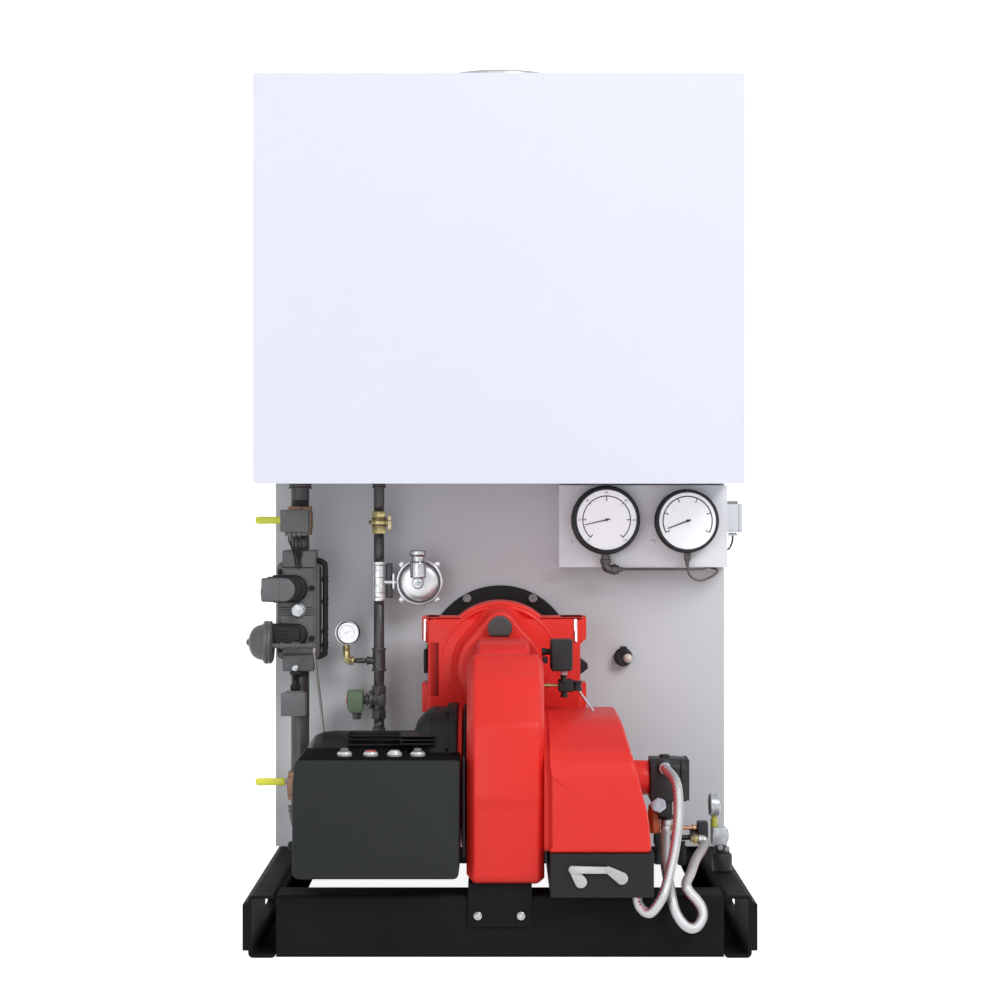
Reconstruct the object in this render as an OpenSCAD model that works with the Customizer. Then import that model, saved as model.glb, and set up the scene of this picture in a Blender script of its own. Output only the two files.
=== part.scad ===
// Packaged industrial boiler on a steel skid, millimetres
// Front faces -Y, +Z is up, the floor is z = 0 and the origin is the middle of the whole length

/* [Casing] */
// Width of the insulated casing
body_w = 900; // [860:10:960]
// Length of the casing from front panel to rear panel
body_len = 1400; // [1200:20:1800]
// Height of the casing above the skid
body_h = 1510; // [1480:10:1700]
// Thickness of an insulated panel
panel_t = 25; // [18:1:40]
// Reach of the burner in front of the casing
burner_reach = 612; // [600:2:640]
// Reach of the water nozzles behind the casing
nozzle_reach = 60; // [50:5:100]

/* [Skid] */
// Reach of the rails in front of the casing
rail_nose = 540; // [500:5:580]
// Height of the rails
rail_h = 110; // [100:2:120]
// Flange width of a rail
rail_w = 49; // [40:1:60]
// Thickness of the folded skid steel
steel_t = 6; // [4:0.5:8]
// Thickness of the guard bar on the outside of a rail
bar_t = 10; // [6:1:12]
// Overall width across the guard bars
skid_w = 906; // [880:2:940]
// Depth of the flanges of the front and rear cross members
cross_d = 90; // [60:2:96]
// Depth that the floor pan hangs below the top of the rails
pan_drop = 38; // [25:1:50]

/* [Flue and water] */
// Outside radius of the flue collar
flue_r = 150; // [125:5:160]
// Height of the flue collar above the casing
flue_h = 216; // [150:2:240]
// Distance of the flue collar behind the front panel
flue_back = 1000; // [850:10:1150]
// Outside radius of a water nozzle
nozzle_r = 44; // [38:1:57]
// Radius of a nozzle flange
nozzle_flange_r = 100; // [90:1:110]
// Height of the supply nozzle
supply_z = 1350; // [1200:10:1400]
// Height of the return nozzle
return_z = 420; // [300:10:500]

/* [Upper cabinet] */
// Overhang of the upper cabinet beyond each side of the casing
cab_over = 6.5; // [0:0.5:20]
// Reach of the cabinet in front of the casing
cab_d = 330; // [300:5:360]
// Height of the underside of the cabinet
cab_z0 = 836; // [830:2:850]
// Height of the cabinet
cab_h = 762; // [700:2:780]
// Thickness of the cabinet sheet
sheet_t = 3; // [2:0.5:4]
// Depth of the cabinet door
door_d = 24; // [18:1:40]

/* [Burner] */
// Height of the firing axis
fire_z = 486; // [480:1:495]
// Radius of the burner mounting flange
flange_r = 148; // [140:1:155]
// Height of the fan shaft
fan_z = 295; // [290:1:300]
// Distance of the fan shaft in front of the casing
fan_d = 350; // [345:1:360]
// Left face of the fan scroll
scroll_x0 = -59; // [-62:1:-56]
// Width of the fan scroll
scroll_w = 137; // [130:1:140]
// Scroll radius straight below the shaft
scroll_r0 = 193; // [185:1:196]
// Scroll radius straight above the shaft
scroll_r1 = 252; // [240:1:256]
// Radius of the fan motor
motor_r = 84; // [78:1:88]
// Length of the fan motor, flange included
motor_len = 290; // [270:2:300]
// Height of the seam between the intake shroud and its base
intake_z0 = 193; // [188:1:196]
// Height of the intake shroud
intake_h = 235; // [225:1:240]

/* [Control box] */
// Width of the burner control box
box_w = 300; // [280:2:310]
// Height of the burner control box
box_h = 206; // [190:2:210]
// Height of the underside of the control box
box_z0 = 148; // [140:1:155]

/* [Gas line] */
// Distance of the gas pipe left of the middle
gas_x = 391; // [385:1:395]
// Outside diameter of the gas pipe
gas_pipe_d = 36; // [33:1:38]
// Distance of the gas pipe in front of the casing
gas_d = 110; // [105:1:120]
// Height of the upper gas cock
cock_z1 = 765; // [760:1:770]
// Height of the lower gas cock
cock_z2 = 247; // [240:1:262]
// Height of the upper end of the gas valve
valve_z1 = 707; // [700:1:712]
// Height of the lower end of the gas valve
valve_z0 = 472; // [466:1:480]
// Reach of a cock lever from its spindle
lever_reach = 91; // [80:1:98]
// Distance of the pilot pipe left of the middle
pilot_x = 239; // [234:1:245]
// Outside diameter of the pilot pipe
pilot_pipe_d = 21; // [18:1:24]
// Distance of the pilot pipe in front of the casing
pilot_d = 70; // [65:1:80]

/* [Instruments] */
// Outside radius of the left gauge
gauge_r1 = 68; // [60:1:70]
// Outside radius of the right gauge
gauge_r2 = 63; // [58:1:68]
// Depth of a gauge case
gauge_depth = 40; // [30:1:50]
// Reach of the gauge plate in front of the casing
plate_d = 60; // [50:1:70]

/* [Oil side] */
// Diameter of the two flexible oil hoses
hose_d = 18; // [16:1:20]

/* [Hidden] */
$fn = 64;
total_len = burner_reach + body_len + nozzle_reach;
front_y = burner_reach - total_len / 2;
rear_y = front_y + body_len;
rail_x = skid_w / 2 - bar_t;
bay = 2 * (rail_x - rail_w);
body_z1 = rail_h + body_h;
cab_w = body_w + 2 * cab_over;
cab_x = -2;
scroll_x1 = scroll_x0 + scroll_w;
box_x1 = scroll_x0 - 7;
box_front = 600;
head_d = 196;
head_z0 = 397;
head_z1 = 580;
boss_d = 240;
neck = [-43, 55];
neck_z1 = fan_z + scroll_r1;
shroud_x0 = scroll_x1 + 9;
fit = 0.3;
tube_d = 5;

// Height and side position hold for the whole boiler, d is the distance in front of the casing
function fy(d) = front_y - d;

// Outline drawn in X and Z, carried from distance d0 to distance d1 in front of the casing
module slab_y(d0, d1) {
    translate([0, fy(d0), 0]) rotate([90, 0, 0]) linear_extrude(d1 - d0) children();
}

// Outline drawn in Y and Z, carried from x0 to x1
module slab_x(x0, x1) {
    translate([x0, 0, 0]) rotate([90, 0, 90]) linear_extrude(x1 - x0) children();
}

// Rod along X, Y or Z
module rod_x(x0, x1, d, z, dia) {
    translate([x0, fy(d), z]) rotate([0, 90, 0]) cylinder(h = x1 - x0, d = dia);
}
module rod_y(d0, d1, x, z, dia) {
    translate([x, fy(d0), z]) rotate([90, 0, 0]) cylinder(h = d1 - d0, d = dia);
}
module rod_z(z0, z1, x, d, dia) {
    translate([x, fy(d), z0]) cylinder(h = z1 - z0, d = dia);
}

// Profile in radius and length turned about a line along X or along Y
module turned_x(x0, d, z) {
    translate([x0, fy(d), z]) rotate([0, 90, 0]) rotate_extrude() children();
}
module turned_y(d, x, z) {
    translate([x, fy(d), z]) rotate([90, 0, 0]) rotate_extrude() children();
}

module rounded_rect(w, h, r) {
    square([w - 2 * r, h], center = true);
    square([w, h - 2 * r], center = true);
    for (sx = [-1, 1], sz = [-1, 1])
        translate([sx * (w / 2 - r), sz * (h / 2 - r)]) circle(r, $fn = 32);
}

// Block between two corners, given as x, distance in front of the casing, and z
module block(x0, x1, d0, d1, z0, z1) {
    translate([x0, fy(d1), z0]) cube([x1 - x0, d1 - d0, z1 - z0]);
}

// Smooth swept hose through hand-set points
function unit(v) = v / norm(v);
function spline(p, i, t) = let(
        a = p[max(i - 1, 0)], b = p[i], c = p[i + 1], e = p[min(i + 2, len(p) - 1)])
    0.5 * (2 * b + (c - a) * t + (2 * a - 5 * b + 4 * c - e) * t * t
        + (3 * b - a - 3 * c + e) * t * t * t);
function hose_line(p, n) = [for (i = [0:len(p) - 2], k = [0:n - 1]) spline(p, i, k / n),
    p[len(p) - 1]];
function tangents(q) = [for (i = [0:len(q) - 1])
    unit(q[min(i + 1, len(q) - 1)] - q[max(i - 1, 0)])];
function carried(t, m, i) = i == len(t) ? []
    : let(k = unit(m - (m * t[i]) * t[i])) concat([k], carried(t, k, i + 1));
module hose(p, n, dia, sides) {
    q = [for (v = hose_line(p, n)) [v[0], fy(v[1]), v[2]]];
    e = [for (v = p) [v[0], fy(v[1]), v[2]]];
    inner = tangents(q);
    // the ends stand square on the fittings
    t = [for (i = [0:len(q) - 1]) i == 0 ? unit(e[1] - e[0])
        : i == len(q) - 1 ? unit(e[len(e) - 1] - e[len(e) - 2]) : inner[i]];
    m = carried(t, [0.3, 0.9, 0.2], 0);
    rings = [for (i = [0:len(q) - 1], k = [0:sides - 1]) let(a = 360 * k / sides)
        q[i] + dia / 2 * (cos(a) * m[i] + sin(a) * cross(t[i], m[i]))];
    last = len(q) - 1;
    polyhedron(rings, concat(
        [for (i = [0:last - 1], k = [0:sides - 1]) let(j = (k + 1) % sides)
            [i * sides + k, (i + 1) * sides + k, (i + 1) * sides + j, i * sides + j]],
        [[for (k = [0:sides - 1]) k]],
        [[for (k = [sides - 1:-1:0]) last * sides + k]]));
}

// Thin tube bent along its points
module bent_tube(p, dia) hose(p, 3, dia, 8);

// SKID

// Folded channel, open towards the middle, with a bevelled guard bar outside
module rail() {
    slab = rail_nose + body_len;
    difference() {
        translate([0, fy(rail_nose) + slab, 0]) rotate([90, 0, 0]) linear_extrude(slab)
            union() {
                difference() {
                    translate([-rail_x + rail_w / 2, rail_h / 2]) rounded_rect(rail_w, rail_h, 9);
                    translate([-rail_x + rail_w / 2 + steel_t, rail_h / 2])
                        rounded_rect(rail_w, rail_h - 2 * steel_t, 4);
                }
                polygon([[-rail_x - bar_t, 13], [-rail_x + 1, 13], [-rail_x + 1, rail_h - 10],
                    [-rail_x, rail_h - 10], [-rail_x - bar_t, rail_h - 16]]);
            }
        // long lifting slot through the web and the guard bar
        slab_x(-rail_x - bar_t - 1, -rail_x + steel_t + 1)
            translate([fy(219), rail_h / 2 - 11]) rounded_rect(190, 40, 8);
    }
}

// Channel across the skid with its web outwards
module cross_member(bracket_holes) {
    difference() {
        slab_x(-bay / 2, bay / 2) difference() {
            translate([fy(rail_nose) + cross_d / 2, rail_h / 2])
                rounded_rect(cross_d, rail_h - 1, 7);
            translate([fy(rail_nose) + cross_d / 2 + steel_t, rail_h / 2])
                rounded_rect(cross_d, rail_h - 1 - 2 * steel_t, 3);
        }
        if (bracket_holes) for (x = [-39, 37])
            rod_y(rail_nose - steel_t - 1, rail_nose + 1, x, 60, 5);
    }
}

module floor_pan() {
    difference() {
        block(-bay / 2, bay / 2, -body_len + cross_d + fit, -20, rail_h - pan_drop, rail_h);
        block(-bay / 2 + 50, bay / 2 - 50, -body_len + cross_d + 50, -70,
            rail_h - pan_drop - 1, rail_h - pan_drop + 6);
    }
}

// CASING

// Front or rear panel, with folded vertical edges
module end_panel() {
    translate([-body_w / 2, 0, rail_h]) cube([body_w, panel_t, body_h]);
}

module side_panel() {
    translate([-body_w / 2, front_y + panel_t, rail_h])
        cube([panel_t, body_len - 2 * panel_t, body_h]);
}

module top_panel() {
    inner = body_w - 2 * panel_t;
    translate([-inner / 2, front_y + panel_t, body_z1 - panel_t])
        cube([inner, body_len - 2 * panel_t, panel_t]);
}

// Spun collar with a beaded rim
module flue_collar() {
    translate([0, front_y + flue_back, body_z1]) rotate_extrude($fn = 96) polygon([
        [flue_r - 4, 0], [flue_r, 0], [flue_r, flue_h - 14], [flue_r + 3, flue_h - 10],
        [flue_r + 3, flue_h - 5], [flue_r, flue_h], [flue_r - 4, flue_h]]);
}

// Ring that holds the collar on the casing
module flue_flange() {
    translate([0, front_y + flue_back, body_z1]) rotate_extrude($fn = 96) polygon([
        [flue_r + fit, 0], [flue_r + 30, 0], [flue_r + 30, 4], [flue_r + 6, 8],
        [flue_r + fit, 8]]);
}

// Flanged stub with eight bolt holes
module water_nozzle(z) {
    translate([0, rear_y, z]) rotate([-90, 0, 0]) difference() {
        union() {
            cylinder(h = nozzle_reach, r = nozzle_r);
            translate([0, 0, nozzle_reach - 18]) cylinder(h = 18, r = nozzle_flange_r);
        }
        translate([0, 0, 6]) cylinder(h = nozzle_reach, r = nozzle_r - 5);
        for (a = [22.5:45:359]) rotate(a) translate([nozzle_flange_r - 20, 0, nozzle_reach - 19])
            cylinder(h = 20, r = 9, $fn = 32);
    }
}

// UPPER CABINET

module cabinet_body() {
    difference() {
        block(cab_x - cab_w / 2 + 3, cab_x + cab_w / 2 - 3, 0, cab_d - door_d, cab_z0 + 3,
            cab_z0 + cab_h - 3);
        block(cab_x - cab_w / 2 + 3 + sheet_t, cab_x + cab_w / 2 - 3 - sheet_t, sheet_t, cab_d,
            cab_z0 + 3 + sheet_t, cab_z0 + cab_h - 3 - sheet_t);
        rod_z(cab_z0 - 1, cab_z0 + 20, -gas_x, gas_d, gas_pipe_d + 2);
        rod_z(cab_z0 - 1, cab_z0 + 20, -pilot_x, pilot_d, pilot_pipe_d + 2);
    }
}

// Pan-shaped door with returned edges
module cabinet_door() {
    zc = cab_z0 + cab_h / 2;
    difference() {
        slab_y(cab_d - door_d, cab_d) translate([cab_x, zc]) rounded_rect(cab_w, cab_h, 5);
        slab_y(cab_d - door_d - 1, cab_d - sheet_t) translate([cab_x, zc])
            rounded_rect(cab_w - 2 * sheet_t, cab_h - 2 * sheet_t, 3);
    }
}

// INSTRUMENTS

// Folded plate that stands off the casing on its two sides
module gauge_plate() {
    x0 = 117; x1 = body_w / 2;
    z0 = 672; z1 = 834;
    difference() {
        block(x0, x1, 0, plate_d, z0, z1);
        block(x0 + sheet_t, x1 - sheet_t, -1, plate_d - sheet_t, z0 - 1, z1 + 1);
    }
}

// Dial case with a bezel around a sunk face, and the square of its stem below
module gauge(x, z, r, stem) {
    turned_y(plate_d, x, z) polygon([
        [0, 0], [r * 0.55, 0], [r - 5, 6], [r - 1, 10], [r, gauge_depth - 8], [r, gauge_depth - 2],
        [r - 2, gauge_depth], [r - 6, gauge_depth], [r - 8, gauge_depth - 5],
        [0, gauge_depth - 5]]);
    block(x - 7, x + 7, plate_d + 12, plate_d + 26, z - r - stem, z - r + 3);
}

module gauge_tubes() {
    d1 = plate_d + 19;
    // elbow and tube of the left gauge
    block(195, 215, d1 - 10, d1 + 10, 659, 766 - gauge_r1 - 12 - fit);
    rod_x(214, 228, d1, 668, 17);
    bent_tube([[228, d1, 668], [340, d1, 668], [372, plate_d + 8, 666], [388, plate_d - 14, 667],
        [392, 24, 676]], tube_d);
    // capillary of the right gauge
    bent_tube([[369, d1, 764 - gauge_r2 - 20 - fit], [371, d1, 664], [377, d1, 654],
        [393, d1, 647], [410, plate_d + 12, 651], [426, plate_d + 8, 660], [430, plate_d - 2, 665],
        [422, plate_d - 16, 668], [409, 26, 677]], tube_d);
}

module side_sensor_box() {
    x0 = body_w / 2;
    block(x0, x0 + 38, -48, -8, 740, 797);
    block(x0 + 4, x0 + 28, -44, -12, 797, 803);
    block(x0 + 10, x0 + 30, -40, -16, 734, 740);
    bent_tube([[x0 + 20, -28, 734], [x0 + 18, -20, 722], [x0 + 12, 0, 711], [x0 + 6, 10, 706],
        [x0 + fit, 12, 705]], 4);
}

module sight_port() {
    rod_y(0, 26, 247, 490, 36);
    turned_y(26, 255, 489) polygon([[0, 0], [10, 0], [10, 4], [8, 8], [5, 11], [0, 12]]);
    rod_z(500, 512, 247, 14, 14);
}

// GAS LINE

module gas_pipe() {
    z1 = cock_z1 + 28; z2 = cock_z1 - 28;
    rod_z(z1, cab_z0 + 26, -gas_x, gas_d, gas_pipe_d);
    rod_z(cab_z0 - 9, cab_z0 + 3 - fit, -gas_x, gas_d, gas_pipe_d + 9);
    rod_z(valve_z1, z2, -gas_x, gas_d, gas_pipe_d);
    rod_z(cock_z2 + 28, valve_z0, -gas_x, gas_d, gas_pipe_d);
    // run to the burner under the motor
    run_z = 172; rise_x = 112;
    rod_z(run_z, cock_z2 - 28, -gas_x, gas_d, gas_pipe_d);
    translate([-gas_x, fy(gas_d), run_z]) sphere(d = gas_pipe_d + 8);
    rod_x(-gas_x, -rise_x, gas_d, run_z, gas_pipe_d);
    translate([-rise_x, fy(gas_d), run_z]) sphere(d = gas_pipe_d + 8);
    rod_z(run_z, head_z0, -rise_x, gas_d, gas_pipe_d);
    rod_z(head_z0 - 25, head_z0, -rise_x, gas_d, gas_pipe_d + 14);
}

// Bronze body with its spindle towards the casing
module gas_cock(z) {
    slab = 25;
    difference() {
        union() {
            block(-gas_x - slab, -gas_x + slab, gas_d - slab, gas_d + slab - 4, z - 28, z + 28);
            rod_y(gas_d - slab - 22, gas_d - slab + 1, -gas_x, z, 24);
        }
        rod_y(gas_d - slab - 23, gas_d - 5, -gas_x, z, 11);
    }
}

// Flat lever behind the body, pointing away from the middle
module lever(z) {
    hub = gas_d - 25 - 22 - fit;
    rod_y(hub - 11, gas_d - 6, -gas_x, z, 10);
    rod_y(hub - 4, hub, -gas_x, z, 24);
    rod_y(hub - 13, hub - 4, -gas_x, z, 15);
    block(-gas_x - lever_reach + 8, -gas_x, hub - 8, hub - 4, z - 5.5, z + 5.5);
    slab_y(hub - 10.5, hub - 2.5) translate([-gas_x - lever_reach / 2 - 23, z])
        rounded_rect(lever_reach - 46, 15, 4);
}

module gas_valve() {
    // adapter blocks above and below
    adapter = 33;
    zc = (valve_z0 + valve_z1) / 2 - 0.5;
    h = valve_z1 - valve_z0 - 43;
    block(-gas_x - 32, -gas_x + 33, gas_d - 28, gas_d + 28, valve_z1 - adapter, valve_z1);
    block(-gas_x - 32, -gas_x + 29, gas_d - 28, gas_d + 28, valve_z0, valve_z0 + adapter);
    slab_y(gas_d - 42, gas_d + 20) translate([-gas_x + 3, zc]) rounded_rect(96, h, 14);
    slab_y(gas_d + 20, gas_d + 30) translate([-gas_x - 4, zc]) rounded_rect(72, h - 16, 5);
    rod_y(gas_d + 30, gas_d + 46, -gas_x, zc + 2, 25);
}

// Rounded end to the right, flat end to the left
module coil_outline(x0, x1, z0, z1) {
    r = (z1 - z0) / 2;
    translate([x0, z0]) square([x1 - x0 - r, z1 - z0]);
    translate([x1 - r, z0 + r]) circle(r);
}

module valve_actuator() {
    slab_y(gas_d + 30 + fit, gas_d + 52) coil_outline(-gas_x - 70, -gas_x + 18, 606, 660);
    slab_y(gas_d + 52, gas_d + 62) coil_outline(-gas_x - 70, -gas_x - 4, 608, 655);
}

// Bell-shaped spring housing on its side, with its diaphragm rim
module gas_regulator() {
    slab_y(gas_d + 30 + fit, gas_d + 52) coil_outline(-gas_x - 54, -gas_x + 18, 520, 566);
    translate([-gas_x - 101, fy(gas_d + 34), 529]) rotate([0, 90, 0]) rotate_extrude()
        polygon([[0, 0], [5, 0], [7, 5], [20, 8], [28, 13], [33, 22], [36, 33], [41, 35], [41, 49],
            [37, 52], [18, 53], [0, 53]]);
    rod_x(-gas_x - 54, -gas_x + 38, gas_d + 58, 524, 9);
}

// Two small switch housings in front of the gas pipe
module pressure_switches() {
    block(-gas_x - 34, -gas_x + 21, gas_d + 21 + fit, gas_d + 52, 743, 786);
    block(-gas_x - 33, -gas_x + 15, gas_d + 20, gas_d + 50, 387, 434);
    block(-gas_x - 12, -gas_x + 12, gas_d + gas_pipe_d / 2 + fit, gas_d + 21, 395, 418);
    rod_z(434, valve_z0, -gas_x - 7, gas_d + 26, 12);
}

module impulse_tube() {
    bent_tube([[-358, gas_d + 58, 519], [-357, gas_d + 54, 500], [-350, gas_d + 36, 430],
        [-342, gas_d + 26, 355], [-330, gas_d + 20, 322], [-290, gas_d + 20, 316],
        [-200, gas_d + 30, 330], [-150, gas_d + 40, 322], [-130, gas_d + 42, 345],
        [-125, gas_d + 42, 375], [-125, gas_d + 42, head_z0 - fit]], tube_d);
}

// PILOT LINE

module pilot_pipe() {
    rod_z(783, cab_z0 + 26, -pilot_x, pilot_d, pilot_pipe_d);
    rod_z(cab_z0 - 7, cab_z0 + 3 - fit, -pilot_x, pilot_d, pilot_pipe_d + 5);
    rod_z(683, 738, -pilot_x, pilot_d, pilot_pipe_d);
    rod_z(438, 606, -pilot_x, pilot_d, pilot_pipe_d);
    // tee with its branch to the small gauge
    rod_z(467, 513, -pilot_x, pilot_d, pilot_pipe_d + 5);
    rod_x(-pilot_x - 28, -pilot_x, pilot_d, 488, 14);
    rod_x(-pilot_x - 50, -pilot_x - 28, pilot_d, 488, 10);
    // down behind the motor and across to the burner
    rod_z(330, 373, -pilot_x, pilot_d, pilot_pipe_d);
    translate([-pilot_x, fy(pilot_d), 330]) sphere(d = pilot_pipe_d + 5);
    rod_x(-pilot_x, -100, pilot_d, 330, pilot_pipe_d);
    translate([-100, fy(pilot_d), 330]) sphere(d = pilot_pipe_d + 5);
    rod_z(330, 397, -100, pilot_d, pilot_pipe_d);
}

module pilot_cock() {
    difference() {
        union() {
            for (z = [738, 771]) rod_z(z, z + 12, -pilot_x, pilot_d, 27, $fn = 6);
            rod_z(750, 771, -pilot_x, pilot_d, 36);
            rod_x(-pilot_x, -pilot_x + 22, pilot_d, 761, 14);
        }
        rod_x(-pilot_x + 4, -pilot_x + 23, pilot_d, 761, 8);
    }
}

// Small cross handle turning about X
module pilot_handle() {
    x0 = -pilot_x + 22 + fit;
    rod_x(-pilot_x + 5, x0, pilot_d, 761, 7);
    slab_x(x0, x0 + 8) translate([fy(pilot_d), 761]) {
        square([9, 34], center = true);
        circle(8);
    }
}

module pilot_regulator() {
    z = 643;
    rod_z(606, 683, -pilot_x, pilot_d, 27);
    for (k = [606, 676]) rod_z(k, k + 7, -pilot_x, pilot_d, 31);
    rod_x(-pilot_x, -pilot_x + 40, pilot_d + 4, z, 9);
    block(-pilot_x + 12, -pilot_x + 26, pilot_d - 24, pilot_d - 2, 610, 680);
    // round diaphragm case with four ears and a spring cap
    rod_y(pilot_d - 20, pilot_d - 6, -161, z, 68);
    rod_y(pilot_d - 6, pilot_d + 2, -161, z, 88);
    rod_y(pilot_d + 2, pilot_d + 12, -161, z, 68);
    for (a = [45:90:315]) translate([-161 + 43 * cos(a), fy(pilot_d - 6), z + 43 * sin(a)])
        rotate([90, 0, 0]) cylinder(h = 8, r = 7, $fn = 32);
    rod_z(z + 8, 707, -161, pilot_d + 25, 25);
    rod_z(699, 707, -161, pilot_d + 25, 32);
    rod_y(pilot_d + 12, pilot_d + 44, -162, 643, 23);
}

module pilot_gauge() {
    x = -299; z = 544;
    turned_y(pilot_d - 4, x, z) polygon([[0, 0], [20, 0], [24, 4], [24, 22], [21, 23], [20, 20],
        [0, 20]]);
    rod_z(496, z - 20, -303, pilot_d + 6, 9);
    translate([-303, fy(pilot_d + 6), 494]) sphere(d = 17);
    rod_x(-303, -pilot_x - 50 - fit, pilot_d, 488, 15);
}

module pilot_solenoid() {
    rod_z(373, 438, -pilot_x, pilot_d, 27);
    rod_x(-pilot_x - 34, -pilot_x, pilot_d, 411, 18);
    rod_x(-pilot_x - 16, -pilot_x - 8, pilot_d, 411, 34);
    block(-pilot_x - 62, -pilot_x - 30, pilot_d - 20, pilot_d + 20, 386, 430);
    rod_z(373, 386, -pilot_x - 44, pilot_d, 20);
}

// BURNER

module burner_flange() {
    difference() {
        rod_y(0, 12, 0, fire_z, 2 * flange_r, $fn = 96);
        rod_y(-1, 13, 0, fire_z, 150);
    }
}

// Cast mouthpiece: tube, arched head plate and two side lugs
module burner_casing() {
    difference() {
        union() {
            rod_y(12, 120, 0, fire_z, 236, $fn = 96);
            slab_y(96, head_d) union() {
                translate([-142, head_z0]) square([300, head_z1 - head_z0]);
                intersection() {
                    translate([0, fire_z]) circle(124, $fn = 96);
                    translate([-110, 560]) square([220, 80]);
                }
            }
            slab_y(110, 180) union() {
                translate([-150, head_z1 - 44]) square([316, 44]);
                translate([-150, head_z0]) square([316, 60]);
            }
        }
        // pocket on the left of the face
        block(-132, -118, head_d - 10, head_d + 1, 432, 533);
        rod_y(-1, 40, 0, fire_z, 150);
    }
    // boss that swells forward round the fan scroll, with a round plug in its upper lobe
    plug_z = neck_z1 + 16;
    difference() {
        union() {
            translate([0, fy(head_d - 1), fire_z]) rotate([90, 0, 0])
                cylinder(h = boss_d - head_d + 1, r1 = 93, r2 = 83);
            rod_y(head_d - 1, boss_d, 0, plug_z, 66);
            rod_y(boss_d - 1, boss_d + 22, 0, plug_z, 46);
        }
        block(scroll_x0 - fit, scroll_x1 + fit, head_d, boss_d + 1, 300, 507.5);
        block(neck[0] - fit, neck[1] + fit, head_d, boss_d + 30, 300, neck_z1 + fit);
    }
}

// Spiral grown from the shaft, then broad flats: each corner stands outside the spiral by the
// second number, at the turn from straight down that the first one gives
function scroll_radius(a) = scroll_r0 + (scroll_r1 - scroll_r0) * a / 180;
scroll_flats = [[53.2, 59.4], [88.2, 6.7], [118.9, 10.1], [141.2, 9.6], [156.9, 9.4]];
function scroll_points(k) = [for (v = concat([for (a = [-60:6:30]) [a, 0]], scroll_flats))
    let(r = k * (scroll_radius(v[0]) + v[1]))
    [-fan_d - r * sin(v[0]) + front_y, fan_z - r * cos(v[0])]];
module scroll_outline(inset) {
    k = 1 - inset / scroll_r1;
    polygon(concat(scroll_points(k), [[fy(fan_d + 42 * k), fan_z + 227 * k],
        [fy(fan_d - 153.7 * k), fan_z + 205 * k], [fy(fan_d - 153.7 * k), fan_z - 60 * k]]));
}

module fan_scroll() {
    w = [18, 8, 3, 0];
    difference() {
        hull() for (k = [0:3]) slab_x(scroll_x0 + w[k], scroll_x1 - w[k]) scroll_outline(w[3 - k] * 0.83);
        // room for the bracket under its foot
        block(scroll_x0 - 1, scroll_x1 + 1, 470, rail_nose + 80, 100, 133 + fit);
    }
    // neck that carries the air into the mouthpiece
    slab_x(neck[0], neck[1]) polygon([[fy(head_d + fit), 440], [fy(head_d + fit), neck_z1],
        [fy(392), neck_z1], [fy(440), neck_z1 - 22], [fy(440), 440]]);
    // rim on the motor side
    rod_x(scroll_x0 - 9, scroll_x0 + 4, fan_d, fan_z, 274);
}

// Outline of the shroud from the front
module intake_front() {
    z = intake_z0;
    h = intake_h;
    polygon([[scroll_x1 - 12, z], [263, z], [262, z + 0.09 * h], [258, z + 0.243 * h],
        [255, z + 0.32 * h], [246, z + 0.455 * h], [234, z + 0.66 * h], [224, z + 0.83 * h],
        [218, z + 0.923 * h], [212, z + 0.974 * h], [203, z + h], [scroll_x1 - 12, z + h]]);
}

// Outline of the shroud from the side
module intake_side() {
    z = intake_z0;
    h = intake_h;
    f = box_front;
    polygon([[fy(f), z], [fy(f), z + 0.583 * h], [fy(f - 6), z + 0.668 * h],
        [fy(f - 20), z + 0.74 * h], [fy(f - 100), z + 0.919 * h], [fy(f - 120), z + 0.957 * h],
        [fy(f - 148), z + 0.987 * h], [fy(f - 180), z + h], [fy(256), z + h],
        [fy(224), z + 0.949 * h], [fy(205), z + 0.86 * h], [fy(200), z + 0.71 * h],
        [fy(200), z]]);
}

module air_intake() {
    z = intake_z0;
    h = intake_h;
    intersection() {
        slab_y(100, 640) intake_front();
        slab_x(shroud_x0, 300) intake_side();
    }
    // narrower wall that joins the shroud to the scroll
    slab_x(scroll_x1, shroud_x0 + 1) polygon([[fy(206), z], [fy(582), z], [fy(582), z + 0.583 * h],
        [fy(560), z + 0.736 * h], [fy(480), z + 0.915 * h], [fy(420), z + 0.962 * h],
        [fy(250), z + 0.962 * h], [fy(206), z + 0.762 * h]]);
    rod_x(240, 275, fan_d, fan_z - 2, 64);
}

// Open-bottomed sheet box below the shroud
module intake_base() {
    difference() {
        block(shroud_x0, 267, 180, box_front, 117, intake_z0);
        block(shroud_x0 + 4, 263, 184, box_front - 4, 116, intake_z0 - 4);
    }
}

// Two levers and a rod on the front of the base
module damper_linkage() {
    p = [[125, 167], [187, 166], [140, 145], [211, 151]];
    module link(a, b, ra, rb) {
        v = b - a;
        for (k = [[a, ra], [b, rb]]) translate(k[0]) circle(k[1], $fn = 32);
        translate(a) rotate(atan2(v[1], v[0])) translate([0, -4]) square([norm(v), 8]);
    }
    slab_y(600, 606) union() {
        link(p[0], p[2], 8, 10.5);
        link(p[1], p[3], 8, 10.5);
    }
    slab_y(606, burner_reach) link(p[0], p[1], 8, 8);
}

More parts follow.
